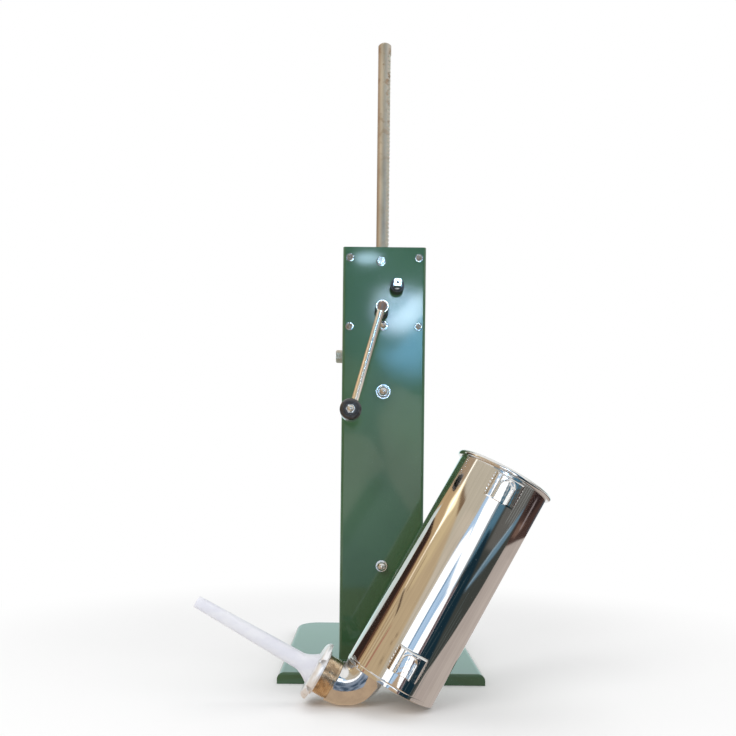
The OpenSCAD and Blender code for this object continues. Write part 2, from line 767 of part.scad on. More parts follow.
module pinion_shaft() {
  color(steel) {
    facing_rear(pinion_x, inner_y + 4, pinion_z) cylinder(d = shaft_d, h = col_t + 4 + collar_len + 1);
    facing_rear(pinion_x, face_y - collar_len - 1, pinion_z) squared_end(stub_len - collar_len - 1);
    facing_front(pinion_x, inner_y + 4 - e, pinion_z) cylinder(d = seat_d, h = front_y - inner_y + 2);
  }
}

module drive_gear() {
  toward = atan2(crank_z - pinion_z, crank_x - pinion_x);
  color(steel) facing_rear(pinion_x, gear_y + gear_w - 1, pinion_z) difference() {
    union() {
      linear_extrude(gear_w - 2) gear_outline(drive_teeth, gear_module, toward);
      translate([0, 0, -5]) cylinder(d = 22, h = 6);
    }
    translate([0, 0, -6]) cylinder(d = seat_d, h = gear_w + 8);
    for (a = [0 : 60 : 300]) rotate([0, 0, a]) translate([18, 0, -1]) cylinder(d = 9, h = gear_w + 2);
  }
}

module rack_pinion() {
  color(steel) facing_rear(pinion_x, rack_y + rack_pinion_w / 2, pinion_z) difference() {
    linear_extrude(rack_pinion_w)
      gear_outline(rack_pinion_teeth, rack_module, 180 + 180 / rack_pinion_teeth);
    translate([0, 0, -1]) cylinder(d = seat_d, h = rack_pinion_w + 2);
  }
}

// Retaining rings on the shafts, just inside the bearing plate and outside the front cover
module shaft_clips() {
  color(black) {
    facing_front(pinion_x, front_y + gap, pinion_z) ring(seat_d + 5, seat_d, 1.2);
    facing_front(pinion_x, plate_y + plate_t + 2 + gap, pinion_z) ring(seat_d + 5, seat_d, 1.2);
  }
}

// The brake screw presses a shoe against the rack and keeps the piston up
brake_face_x = -col_w / 2 - 2;
shoe_t = 8;
shoe_x = -rack_d / 2 - gap - shoe_t;
brake_head_w = 17;
brake_head_h = 10;
module brake_screw() {
  color(zinc) translate([brake_face_x, rack_y, brake_z]) rotate([0, 90, 0]) {
    translate([0, 0, -brake_head_h]) intersection() {
      hex(brake_head_w, brake_head_h);
      cylinder(d1 = brake_head_w - 1, d2 = brake_head_w + 3 * brake_head_h, h = brake_head_h);
    }
    translate([0, 0, -e]) cylinder(d = brake_d, h = shoe_x - brake_face_x - gap + e);
  }
}

module brake_shoe() {
  color(black) difference() {
    translate([shoe_x, rack_y, brake_z]) rotate([0, 90, 0]) cylinder(d = brake_d, h = shoe_t + 1);
    translate([0, rack_y, brake_z - brake_d]) cylinder(d = rack_d + 2 * gap, h = 2 * brake_d);
  }
}

// The cylinder: a rolled and polished tube with a bead round its mouth
module cylinder_tube() {
  color(steel) standing() {
    rotate_extrude() {
      translate([cyl_bore / 2, 0]) square([cyl_wall, cyl_len - bead_d / 2]);
      translate([cyl_bore / 2 + bead_d / 2 , cyl_len - bead_d / 2]) circle(d = bead_d);
    }
  }
}

module cylinder_bottom() {
  color(steel) standing() difference() {
    cylinder(d = cyl_bore, h = 2);
    translate([-outlet_x, 0, -1]) cylinder(d = elbow_d - 2 * elbow_wall, h = 4);
  }
}

// Plan of a lug's outside or inside: a strip of the given width, curved with the tube
module lug_plan(w, r) {
  intersection() {
    circle(r);
    translate([-w / 2, -r]) square([w, r]);
  }
}

// A hanging lug: a pressing curved like the tube, which stands off it, with an arched slot open below
module lug(mid_z) {
  slot_z = lug_h / 2 + lug_arch;
  color(steel) standing() translate([0, 0, mid_z - lug_h / 2]) difference() {
    linear_extrude(lug_h) lug_plan(lug_w, lug_face);
    translate([0, 0, -1]) linear_extrude(lug_h - lug_t + 1) lug_plan(lug_w - 2 * lug_t, lug_face - lug_t);
    translate([0, 0, -1]) cylinder(r = cyl_r, h = lug_h + 2);
    translate([-slot_r, -lug_face - 1, -1]) cube([2 * slot_r, lug_t + 3, slot_z + 1]);
    translate([0, -lug_face - 1, slot_z]) rotate([-90, 0, 0]) cylinder(r = slot_r, h = lug_t + 3);
  }
}

module upper_lug() {
  lug(lug_low + lug_pitch);
}

module lower_lug() {
  lug(lug_low);
}

// The outlet elbow: a tight quarter bend from the bottom plate to the neck
module elbow() {
  color(steel) standing() {
    translate([-outlet_x, 0, -elbow_collar]) ring(elbow_d, elbow_d - 2 * elbow_wall, elbow_collar);
    translate([-bend_x, 0, -elbow_collar]) rotate([-90, 0, 0]) rotate_extrude(angle = 90)
      translate([elbow_r, 0]) difference() {
        circle(d = elbow_d);
        circle(d = elbow_d - 2 * elbow_wall);
      }
  }
}

neck_bore = neck_d - 6;
module threaded_neck() {
  color(steel) on_outlet(bend_x) ring(neck_d, neck_bore, neck_len);
}

module nozzle_gasket() {
  color(black) on_outlet(neck_end) ring(neck_d - 2, neck_bore, gasket_t);
}

// The nozzle: a flange that the nut clamps, a steep cone and a long tapered tube
module nozzle() {
  r0 = nozzle_cone_d / 2;
  r1 = nozzle_root_d / 2;
  r2 = nozzle_tip_d / 2;
  w = nozzle_wall;
  z1 = flange_t + nozzle_cone_len;
  z2 = z1 + nozzle_tube_len;
  color(white) on_outlet(neck_end + gasket_t) rotate_extrude() polygon([
    [r0 - w, 0], [neck_d / 2 - 1, 0], [neck_d / 2 - 1, flange_t], [r0, flange_t], [r0, flange_t + nut_lip],
    [r1, z1], [r2, z2], [r2 - w, z2], [r1 - w, z1], [r0 - w, flange_t + nut_lip]
  ]);
}

// The ring nut: a threaded collar with a thin dished flange that notches part into petals
nut_wall = 3.5;
nut_flange_t = 2;
module ring_nut() {
  r0 = neck_d / 2 + fit;
  r1 = r0 + nut_wall;
  r2 = nut_d / 2;
  lip_r = nozzle_cone_d / 2 + gap;
  steps = 4;
  function dish(i) = nut_dish * (1 - cos(90 * i / steps));
  function out(i) = r1 + (r2 - r1) * sin(90 * i / steps);
  color(steel) on_outlet(nut_start) difference() {
    rotate_extrude() polygon(concat(
      [[r0, 0], [r1, 0]],
      [for (i = [0 : steps]) [out(i), nut_h - nut_flange_t - dish(i)]],
      [for (i = [steps : -1 : 0]) [out(i), nut_h - dish(i)]],
      [[lip_r, nut_h], [lip_r, nut_h - nut_lip], [r0, nut_h - nut_lip]]
    ));
    for (k = [0 : nut_notches - 1]) rotate([0, 0, k * 360 / nut_notches])
      translate([r2 - 1, 0, -1]) cylinder(d = 6, h = nut_h + 2);
  }
}

base();
column();
head_top_cover();
front_cover();
front_cover_screws();
lower_guide();
rack_bush();
bearing_plate();
plate_spacers();
gearbox_screws();
gearbox_washers();
plate_nuts();
top_bolt();
gearbox_stud();
crank_bushes();
pinion_bushes();
shaft_collars();
hanger_studs();
hanger_sleeves();
hanger_washers();
hanger_dome_nuts();
brake_boss();
foot_bolts();
rack_bar();
piston_plate();
piston_seal();
piston_nut();
air_valve();
crank_shaft();
crank_pinion();
crank_arm();
crank_set_screw();
knob_pin();
knob();
knob_nut();
pinion_shaft();
drive_gear();
rack_pinion();
shaft_clips();
brake_screw();
brake_shoe();
cylinder_tube();
cylinder_bottom();
upper_lug();
lower_lug();
elbow();
threaded_neck();
nozzle();
ring_nut();
nozzle_gasket();
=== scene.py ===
import math
import bmesh
import bpy
import numpy as np
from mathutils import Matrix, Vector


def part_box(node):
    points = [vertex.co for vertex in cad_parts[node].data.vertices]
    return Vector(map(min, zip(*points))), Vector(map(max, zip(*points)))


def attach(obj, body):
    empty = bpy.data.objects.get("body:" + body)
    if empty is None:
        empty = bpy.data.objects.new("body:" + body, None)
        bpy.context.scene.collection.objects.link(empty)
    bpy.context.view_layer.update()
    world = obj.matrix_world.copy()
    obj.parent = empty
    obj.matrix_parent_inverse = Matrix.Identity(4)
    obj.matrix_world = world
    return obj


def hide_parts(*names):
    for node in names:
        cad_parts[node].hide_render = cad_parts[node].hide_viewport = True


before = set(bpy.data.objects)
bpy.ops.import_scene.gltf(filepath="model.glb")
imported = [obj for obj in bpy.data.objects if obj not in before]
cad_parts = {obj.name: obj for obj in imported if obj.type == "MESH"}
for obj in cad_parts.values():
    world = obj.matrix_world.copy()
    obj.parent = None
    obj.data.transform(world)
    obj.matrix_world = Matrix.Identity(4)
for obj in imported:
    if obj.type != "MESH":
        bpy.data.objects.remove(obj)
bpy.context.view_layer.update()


# The tray and the column: folded sheet steel, sprayed a glossy dark green and stoved. The head's top
# and front covers are the same sheet. The paint has orange peel and dust, and a highlight painted along its
# folds.

class Number:
    """A shader socket that Python arithmetic can be written on; each operator adds its Math node."""

    def __init__(self, finish, socket):
        self.finish, self.socket = finish, socket

    def maths(self, operation, *others):
        """A Math node on this value and the others."""
        return self.finish.node("Math", {"operation": operation}, at=dict(enumerate((self, *others))))

    def __add__(self, other):
        return self.maths("ADD", other)

    def __sub__(self, other):
        return self.maths("SUBTRACT", other)

    def __rsub__(self, other):
        return self.finish.node("Math", {"operation": "SUBTRACT"}, at={0: other, 1: self})

    def __mul__(self, other):
        return self.maths("MULTIPLY", other)

    def __truediv__(self, other):
        return self.maths("DIVIDE", other)

    def __pow__(self, other):
        return self.maths("POWER", other)

    def __abs__(self):
        return self.maths("ABSOLUTE")

    __radd__ = __add__

    def rises(self, low, high):
        """0 below low, 1 above high, a smooth curve between; high may be the smaller."""
        return self.finish.node("MapRange", {"interpolation_type": "SMOOTHSTEP"},
                                at={0: self, 1: low, 2: high, 3: 0.0, 4: 1.0})

    def either(self, other):
        """The larger of the two."""
        return self.maths("MAXIMUM", other)


class Finish:
    """A material with its shader, and node() to add any node to its tree."""

    def __init__(self, name, **constants):
        self.material = bpy.data.materials.new(name)
        self.material.use_nodes = True
        self.tree = self.material.node_tree
        self.shader = self.tree.nodes["Principled BSDF"]
        for socket, value in constants.items():
            self.shader.inputs[socket.replace("_", " ")].default_value = value
        self.place = self.node("TexCoord", out="Object")

    def node(self, kind, settings=(), at=(), out=0):
        """Adds a node: its settings first, then a value or a link for each socket."""
        made = self.tree.nodes.new("ShaderNode" + kind)
        for key, value in dict(settings).items():
            setattr(made, key, value)
        for key, value in dict(at).items():
            if isinstance(value, Number):
                self.tree.links.new(value.socket, made.inputs[key])
            elif isinstance(value, tuple) and len(value) == 3 and made.inputs[key].type == "RGBA":
                made.inputs[key].default_value = (*value, 1.0)
            else:
                made.inputs[key].default_value = value
        return Number(self, made.outputs[out])

    def noise(self, scale, detail=3.0, stretch=(1.0, 1.0, 1.0), rough=0.5):
        """Noise over the object's place, in waves per metre, stretched along any axis."""
        spot = self.node("Mapping", at={"Vector": self.place, "Scale": stretch})
        sockets = {"Vector": spot, "Scale": scale, "Detail": detail, "Roughness": rough}
        return self.node("TexNoise", at=sockets)

    def axis(self, name):
        """One coordinate of the place, in metres."""
        return self.node("SeparateXYZ", at={0: self.place}, out=name)

    def from_line(self, x, z):
        """The distance sqrt((X - x)² + (Z - z)²) from a line along Y, in metres."""
        return ((self.axis("X") - x) ** 2.0 + (self.axis("Z") - z) ** 2.0) ** 0.5

    def blend(self, share, first, second):
        """The first colour where share is 0, the second where it is 1."""
        return self.node("Mix", {"data_type": "RGBA"}, {0: share, 6: first, 7: second}, out=2)

    def feed(self, **sockets):
        """Links what varies to the shader's own sockets."""
        for socket, value in sockets.items():
            self.tree.links.new(value.socket, self.shader.inputs[socket.replace("_", " ")])

    def relief(self, height, distance, strength=1.0):
        """Raises the surface by the height socket, times a distance in metres."""
        self.feed(Normal=self.node("Bump", at={"Height": height, "Distance": distance, "Strength": strength},
                                   out="Normal"))

    def put_on(self, *names):
        """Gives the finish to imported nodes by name."""
        for name in names:
            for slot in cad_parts[name].material_slots:
                slot.material = self.material


column_half, rim_z = 0.058, 0.024


def green_paint():
    """Deep green with slow changes of tone, pale dust, and a painted highlight where the sheet is folded:
    where
    |x| is the column's half width, and at the height of the tray's rim."""
    f = Finish("green_paint", Specular_IOR_Level=0.40, Coat_Roughness=0.06, Coat_IOR=1.5)
    tone = f.noise(9.0, 4.0)
    dust = f.noise(900.0, 1.0).rises(0.70, 0.78) * f.noise(14.0, 2.0).rises(0.42, 0.66)
    worn = f.noise(60.0, 4.0).rises(0.40, 0.62)
    from_middle, height = abs(f.axis("X")), f.axis("Z")
    # painted highlight: a pale band just inside the column's side folds and along the tray's rim, where the
    # bends catch the light
    edge = from_middle.rises(column_half - 0.0018, column_half - 0.0008)
    edge = edge * (1 - from_middle.rises(column_half - 0.0004, column_half))
    rim = height.rises(rim_z - 0.0015, rim_z - 0.0002) * (1 - height.rises(rim_z - 0.0002, rim_z + 0.0006))
    fold_highlight = edge.either(rim) * (worn * 0.5 + 0.5)
    colour = f.blend(tone.rises(0.3, 0.7), (0.026, 0.082, 0.030), (0.036, 0.102, 0.040))
    colour = f.blend(dust * 0.35, colour, (0.30, 0.36, 0.30))
    colour = f.blend(fold_highlight * 0.45, colour, (0.20, 0.34, 0.28))
    peel = f.noise(420.0, 2.0)
    f.feed(Base_Color=colour, Roughness=0.26 + tone * 0.08 + dust * 0.2,
           Coat_Weight=0.7 - dust * 0.4 - fold_highlight * 0.2)
    f.relief(peel, 0.00006, 0.5)
    return f


green_paint().put_on("base", "column", "head_top_cover", "front_cover")


# The cylinder: a sheet of stainless steel rolled to a tube, with a bead rolled round its mouth and the
# bottom plate's rim seamed over its foot. All of it is polished to a mirror, with a few finger smears.

def polished_steel():
    """A mirror with faint polishing lines, finger smears that dull it a little, and a warm tone."""
    f = Finish("polished_steel", Metallic=1.0)
    lines = f.noise(300.0, 2.0, (0.3, 0.3, 4.0))
    smears = f.noise(22.0, 4.0, (1.0, 1.0, 0.6)).rises(0.50, 0.78)
    colour = f.blend(smears, (0.78, 0.77, 0.75), (0.72, 0.70, 0.67))
    f.feed(Base_Color=colour, Roughness=0.055 + smears * 0.06 + lines * 0.025)
    f.relief(f.noise(18.0, 1.0) + lines * 0.05, 0.0004, 0.10)
    return f


mirror = polished_steel()
mirror.put_on("cylinder_bottom")

tube_r, tube_bore_r, tube_len = 0.059, 0.0575, 0.292
tilt, turn, spin = math.radians(29.2198), math.radians(6.7), math.radians(6.9)
foot = np.array([0.008, -0.276, tube_r * math.sin(tilt)])


def turned(points):
    """Directions of the upright cylinder where it stands: spun back round its own axis, leaned to the
    right by the tilt, and turned about the vertical."""
    x, y, z = np.moveaxis(np.asarray(points, float), -1, 0)
    x, y = x * math.cos(spin) + y * math.sin(spin), y * math.cos(spin) - x * math.sin(spin)
    x, z = x * math.cos(tilt) + z * math.sin(tilt), z * math.cos(tilt) - x * math.sin(tilt)
    x, y = x * math.cos(turn) - y * math.sin(turn), x * math.sin(turn) + y * math.cos(turn)
    return np.stack([x, y, z], -1)


def stood(points):
    """Points of the upright cylinder where it stands."""
    return turned(points) + foot


def grid_faces(rows, columns, close_rows=False, close_columns=False):
    """Four corners for each cell of a grid of points; a closed direction joins its last line to its first."""
    i, j = np.meshgrid(np.arange(rows - (not close_rows)), np.arange(columns - (not close_columns)),
                       indexing="ij")
    i, j = i.ravel(), j.ravel()
    next_i, next_j = (i + 1) % rows, (j + 1) % columns
    row, next_row = i * columns, next_i * columns
    return np.stack([row + j, row + next_j, next_row + next_j, next_row + j], 1)


def set_mesh(name, points, faces, finish):
    """A mesh object from arrays of corners and faces."""
    mesh = bpy.data.meshes.new(name)
    mesh.from_pydata(np.asarray(points).tolist(), [], np.asarray(faces).tolist())
    mesh.update()
    made = bpy.data.objects.new(name, mesh)
    bpy.context.scene.collection.objects.link(made)
    mesh.materials.append(finish.material)
    return made


def piece(name, grids, finish, body, close_rows=True, close_columns=True, sharp=32.0):
    """One closed piece from one or more grids of points: doubles are merged, faces turned outwards, and
    edges sharper than the given angle, in degrees, kept crisp. It rides on a body."""
    same_place, no_length = 0.000002, 0.000001
    points, faces, start = [], [], 0
    for grid in grids:
        rows, columns = grid.shape[:2]
        points.append(grid.reshape(-1, 3))
        faces.append(grid_faces(rows, columns, close_rows, close_columns) + start)
        start += rows * columns
    made = set_mesh(name, np.concatenate(points), np.concatenate(faces), finish)
    shell = bmesh.new()
    shell.from_mesh(made.data)
    bmesh.ops.remove_doubles(shell, verts=shell.verts, dist=same_place)
    bmesh.ops.dissolve_degenerate(shell, edges=shell.edges, dist=no_length)
    bmesh.ops.recalc_face_normals(shell, faces=shell.faces)
    shell.to_mesh(made.data)
    shell.free()
    made.data.polygons.foreach_set("use_smooth", np.ones(len(made.data.polygons), dtype=bool))
    made.data.set_sharp_from_angle(angle=math.radians(sharp))
    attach(made, body)
    return made


def circle(count):
    """Angles evenly round a full turn."""
    return np.arange(count) * 2 * math.pi / count


def revolved(radius, height, around):
    """The profile (radius, height) turned round the Z axis: (r cos a, r sin a, z)."""
    a = circle(around)
    r, z = np.asarray(radius)[:, None], np.asarray(height)[:, None]
    return np.stack([r * np.cos(a), r * np.sin(a), z + 0 * a], -1)


def line(start, end, count):
    """Points of a straight line, both ends in."""
    return np.linspace(start, end, count)


def arc(centre, radius, from_deg, to_deg, count):
    """Points of an arc in a profile: centre + radius (cos a, sin a)."""
    a = np.radians(np.linspace(from_deg, to_deg, count))
    return np.stack([centre[0] + radius * np.cos(a), centre[1] + radius * np.sin(a)], -1)


def cylinder_skin():
    """The wall's profile up the outside, over the bead, and down the inside. As on a rolled sheet, the
    outside swells by 0.08 sin(3a + 20z) sin(14z) + 0.03 sin(7a - 45z) - 0.08 mm, less near its ends."""
    seam_z, seam_deep, bead_r = 0.0048, 0.0003, 0.003
    bead = (tube_bore_r + bead_r, tube_len - bead_r)
    wall_r = tube_r - 0.00015
    profile = np.concatenate([
        line((tube_r - 0.0003, 0.0), (tube_r, 0.0004), 3),
        line((tube_r, 0.0008), (tube_r, seam_z - 0.0002), 4),
        line((tube_r - seam_deep, seam_z + 0.0003), (wall_r, seam_z + 0.0010), 3),
        line((wall_r, seam_z + 0.002), (wall_r, bead[1] - 0.0031), 90),
        arc(bead, bead_r, -124, 180, 30),
        line((tube_bore_r, bead[1] - 0.002), (tube_bore_r, 0.0), 30),
    ])
    grid = revolved(profile[:, 0], profile[:, 1], 256)
    a = np.arctan2(grid[..., 1], grid[..., 0])
    z = grid[..., 2]
    outside = (profile[:, 0] > tube_bore_r + 0.0004)[:, None] * np.clip((bead[1] - 0.004 - z) / 0.02, 0, 1)
    outside = outside * np.clip((z - seam_z) / 0.02, 0, 1)
    swell = 0.00008 * np.sin(3 * a + 20 * z) * np.sin(14 * z) + 0.00003 * np.sin(7 * a - 45 * z)
    grid[..., :2] *= (1 + outside * (swell - 0.00008) / wall_r)[..., None]
    return stood(grid)


skin = piece("cylinder_skin", [cylinder_skin()], mirror, "cylinder")
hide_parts("cylinder_tube")


# The lugs: pressings that hook over the hanger studs, drawn from sheet with a rounded flank all round but
# the foot, and an arched slot with a rolled rim. They are welded to the tube with a row of small beads.

lug_w, lug_h, lug_rise, lug_mids = 0.038, 0.032, 0.0085, (0.036, 0.267)
flank_share, crown_share = 0.16, 0.10
slot_half, slot_arch, slot_deep = 0.0078, 0.003, 0.0072
bead_least, bead_more, bead_waves = 0.0007, 0.0010, 7


def lug_skin(mid):
    """The radius is root + (rise + rim + dents - fold - deep slot) min(side, top) foot. Side and top are
    quarter ellipses, the slot is 1 within its half width of a line that ends in an arch, and the rim is a
    bump round it."""
    root = tube_r - 0.0004
    up, across = np.meshgrid(np.linspace(0, 1, 190), np.linspace(-1, 1, 210), indexing="ij")
    x, z = across * lug_w / 2, mid + (up - 0.5) * lug_h
    side = np.sqrt(1 - np.clip((np.abs(across) - 1 + flank_share) / flank_share, 0, 1) ** 2)
    top = np.sqrt(1 - np.clip((up - 1 + crown_share) / crown_share, 0, 1) ** 2)
    foot_edge = np.clip(up / 0.02, 0, 1)
    off = np.where(z > mid + slot_arch, np.hypot(x, z - mid - slot_arch), np.abs(x))
    slot = np.clip((slot_half - off) / 0.0008 + 0.5, 0, 1)
    rim = 0.0004 * np.exp(-((off - slot_half - 0.0012) / 0.0007) ** 2)
    dents = 0.00003 * np.sin(9 * across + 17 * up) * np.sin(23 * across - 12 * up)
    fold = 0.0004 * np.exp(-((across + 0.60) / 0.03) ** 2)
    body = np.minimum(side, top) * foot_edge
    radius = root + (lug_rise + rim + dents - fold - slot_deep * slot) * body
    outer = np.stack([x, -np.sqrt(radius ** 2 - x ** 2), z], -1)
    inner = np.stack([x, -np.sqrt(root ** 2 - x ** 2), z], -1)
    return stood(np.concatenate([outer, inner[::-1]]))


def weld_bead(path, side, out, radius):
    """A round bar along a path: path + radius (cos v side + sin v out)."""
    v, r = circle(14), radius[:, None, None]
    return path[:, None] + r * (np.cos(v)[None, :, None] * side + np.sin(v)[None, :, None] * out)


def lug_welds(mid):
    """Beads along each flank, where the pressing meets the tube. Their radius is the least + more
    |sin(7 pi u)|, drawn to a point at both ends by sqrt(sin(pi u))."""
    grids, inset = [], 0.001
    u = np.linspace(0, 1, 120)
    for x in (-lug_w / 2, lug_w / 2):
        y = -math.sqrt(tube_r ** 2 - x ** 2)
        z = mid - lug_h / 2 + inset + u * (lug_h - 2 * inset)
        path = np.stack([0 * u + x, 0 * u + y, z], -1)
        out = np.array([x, y, 0]) / tube_r
        along = np.array([-out[1], out[0], 0])
        radius = bead_least + bead_more * np.abs(np.sin(u * math.pi * bead_waves))
        radius *= np.sqrt(np.sin(u * math.pi) + 1e-6)
        grids.append(stood(weld_bead(path, along, out, radius)))
    return grids


for name, mid in zip(("upper_lug", "lower_lug"), lug_mids[::-1]):
    lug = piece(name + "_skin", [lug_skin(mid)], mirror, "cylinder", close_columns=False)
    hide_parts(name)
    welds = piece(name + "_welds", lug_welds(mid), mirror, "cylinder", close_rows=False)


# The outlet elbow: a tight bend pressed in two halves, welded to the bottom plate and to the neck, and
# polished like the cylinder.

elbow_r_out, elbow_r_in, bend_r, collar = 0.026, 0.0245, 0.028, 0.0045
outlet_x = tube_r - elbow_r_out - 0.001
bend_x = outlet_x + bend_r


def elbow_skin():
    """A collar and a quarter ring: the middle line is (-bend_x + R cos a, -collar - R sin a), and each
    section a circle across it. The outer skin goes out, the inner one comes back, and a weld swells each
    end as a bump exp(-(distance / width)²)."""
    collar_rows, bend_rows, end = 8, 64, bend_r * math.pi / 2
    a = np.concatenate([np.zeros(collar_rows), np.linspace(0, math.pi / 2, bend_rows)])
    down = np.concatenate([np.linspace(collar, 0, collar_rows), np.zeros(bend_rows)])
    way = np.concatenate([np.linspace(-collar, 0, collar_rows), np.linspace(0, end, bend_rows)])
    weld = 0.0007 * np.exp(-((way + collar - 0.0008) / 0.0011) ** 2)
    weld = weld + 0.0005 * np.exp(-((way - end) / 0.0008) ** 2)
    v, skins = circle(128), []
    for r, swell in ((elbow_r_out, weld), (elbow_r_in, 0 * weld)):
        r = (r + swell)[:, None]
        out = bend_r + r * np.cos(v)
        x = -bend_x + out * np.cos(a)[:, None]
        z = -collar - out * np.sin(a)[:, None] + down[:, None]
        skins.append(np.stack([x, r * np.sin(v) + 0 * x, z], -1))
    return stood(np.concatenate([skins[0], skins[1][::-1]]))


def elbow_steel():
    """The same mirror, with painted shade darkening it along the crease at the bend's middle: the distance
    from the crease line is sqrt(|p|² - (p.d)²), where p is the place from the line's middle and d its
    direction."""
    f = Finish("elbow_steel", Metallic=1.0)
    crease, along = stood([-bend_x, 0, -collar]), turned([0.0, 1.0, 0.0])
    place = f.node("VectorMath", {"operation": "SUBTRACT"}, {0: f.place, 1: crease.tolist()})
    square = f.node("VectorMath", {"operation": "DOT_PRODUCT"}, {0: place, 1: place}, out="Value")
    step = f.node("VectorMath", {"operation": "DOT_PRODUCT"}, {0: place, 1: along.tolist()}, out="Value")
    near = (square - step * step).either(0.0) ** 0.5
    # painted shade: dark brown in the tight inner crease of the bend, which is also made rougher there
    crease_shade = near.rises(0.010, 0.004)
    mottle = f.noise(70.0, 4.0)
    colour = f.blend(mottle.rises(0.35, 0.65), (0.80, 0.79, 0.77), (0.70, 0.69, 0.68))
    colour = f.blend(crease_shade * 0.7, colour, (0.16, 0.13, 0.11))
    f.feed(Base_Color=colour, Roughness=0.07 + mottle * 0.07 + crease_shade * 0.3)
    f.relief(mottle, 0.0006, 0.12)
    return f


elbow = piece("elbow_skin", [elbow_skin()], elbow_steel(), "cylinder")
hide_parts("elbow")


# The neck: a short turned tube welded to the elbow, with the thread that the ring nut turns on. Its steel
# has a warm gold-brown tone that is a painted reflection, with grease in the thread.

neck_r, neck_bore_r, neck_len = 0.025, 0.022, 0.0225
outlet_deep = collar + bend_r


def on_outlet(radius, distance, angle):
    """Points round the outlet, from their radius, their distance from the cylinder's axis and their angle
    from below: (-distance, radius sin angle, -deep - radius cos angle)."""
    return stood(np.stack([-distance + 0 * radius * angle, radius * np.sin(angle) + 0 * distance,
                           -outlet_deep - radius * np.cos(angle) + 0 * distance], -1))


def neck_skin():
    """The thread's radius is root + depth w, where w = 0.5 + 0.95 cos(2 pi s / lead - a), kept from 0 to 1,
    at the distance s and the angle a. It runs out at both ends."""
    lead, depth = 0.002, 0.0009
    s = np.linspace(0, neck_len, 160)[:, None]
    angle = circle(144)[None, :]
    wave = np.cos(2 * math.pi * s / lead - angle)
    ends = np.clip((s - 0.002) / 0.001, 0, 1) * np.clip((neck_len - s) / 0.001, 0, 1)
    cut = np.clip(0.5 + 0.95 * wave, 0, 1) * ends
    outer = on_outlet(neck_r - depth + depth * cut, bend_x + s + 0 * angle, angle)
    inner_s = np.linspace(neck_len, 0, 6)[:, None]
    inner = on_outlet(neck_bore_r + 0 * inner_s * angle, bend_x + inner_s + 0 * angle, angle)
    return np.concatenate([outer, inner])


def neck_steel():
    """A warm gold-brown tone that is a painted reflection, darker where noise lays grease."""
    f = Finish("neck_steel", Metallic=1.0)
    grease = f.noise(110.0, 3.0).rises(0.40, 0.66)
    # painted reflection: the warm gold-brown colour of the steel
    colour = f.blend(grease, (0.80, 0.66, 0.48), (0.46, 0.34, 0.22))
    f.feed(Base_Color=colour, Roughness=0.16 + grease * 0.16)
    f.relief(f.noise(500.0, 2.0), 0.00003, 0.3)
    return f


neck = piece("neck_skin", [neck_skin()], neck_steel(), "cylinder")
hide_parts("threaded_neck")


# The ring nut: a threaded collar with a thin flange, spun back at its rim and notched for the fingers.
# It is satin steel, duller than the rest from handling.

def satin_steel():
    """Pale satin steel: the spun surface scatters about half of its light, and noise leaves dull marks."""
    f = Finish("satin_steel")
    fine = f.noise(700.0, 2.0)
    marks = f.noise(90.0, 3.0).rises(0.55, 0.75)
    f.feed(Base_Color=f.blend(marks, (0.90, 0.90, 0.91), (0.74, 0.73, 0.72)), Roughness=0.26 + fine * 0.12,
           Metallic=0.55 + marks * 0.25)
    f.relief(fine, 0.00003, 0.3)
    return f


nut_start, nut_h, nut_r, nut_dish, nut_wall, nut_t = 0.0783, 0.011, 0.0365, 0.007, 0.0035, 0.0013
notches, notch_half, notch_deep = 6, 0.0032, 0.004
lip_h, lip_r = 0.003, 0.0208


def nut_skin():
    """Rows go up the bore, over the lip, out along the flange's front, round its rim and back to the
    collar. The flange is part of an ellipse, n = h - dish (1 - sqrt(1 - q²)) with q = (r - r1) / (r2 - r1).
    Its rim is r2 - deep sqrt(1 - (r2 b / half)²) near a notch, where b is the angle from the notch."""
    angle = circle(720)[None, :]
    step = 2 * math.pi / notches
    off = (angle + step / 2) % step - step / 2
    rim = nut_r - notch_deep * np.sqrt(np.clip(1 - (nut_r * off / notch_half) ** 2, 0, 1))
    fit, soft, back_at = 0.00005, 0.0005, 0.004
    r0 = neck_r + fit
    r1 = r0 + nut_wall

    def flange(share, back):
        """A row at r = r1 + (rim - r1) share, on the front or behind it by the sheet's thickness."""
        r = r1 + (rim - r1) * share
        q = np.clip((r - r1) / (nut_r - r1), 0, 1)
        return r, nut_h - nut_dish * (1 - np.sqrt(np.clip(1 - q ** 2, 0, 1))) - back + 0 * r

    rows = [(r0, 0.0), (r0, back_at), (r0, nut_h - lip_h), (lip_r, nut_h - lip_h), (lip_r, nut_h - soft),
            (lip_r + soft, nut_h)]
    rows = [(r + 0 * angle, n + 0 * angle) for r, n in rows]
    rows += [flange(share, 0.0) for share in np.sin(np.linspace(0, math.pi / 2, 16))]
    rows += [flange(1.0, nut_t * share) for share in (0.25, 0.5, 0.75)]
    rows += [flange(share, nut_t) for share in np.sin(np.linspace(math.pi / 2, 0, 16))]
    rows += [(r + 0 * angle, n + 0 * angle) for r, n in ((r1, back_at), (r1, soft), (r1 - soft, 0.0))]
    radius = np.concatenate([r for r, n in rows])
    distance = nut_start + np.concatenate([n for r, n in rows])
    return on_outlet(radius, distance, angle)


nut = piece("ring_nut_skin", [nut_skin()], satin_steel(), "nut", sharp=40.0)
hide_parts("ring_nut")


# The nozzle: milky polyethylene, moulded in one piece, with a flange under the nut, a steep cone that
# flows into a long tapered tube, and a wall thin enough to let light through. The piston and its air valve
# are the same plastic.

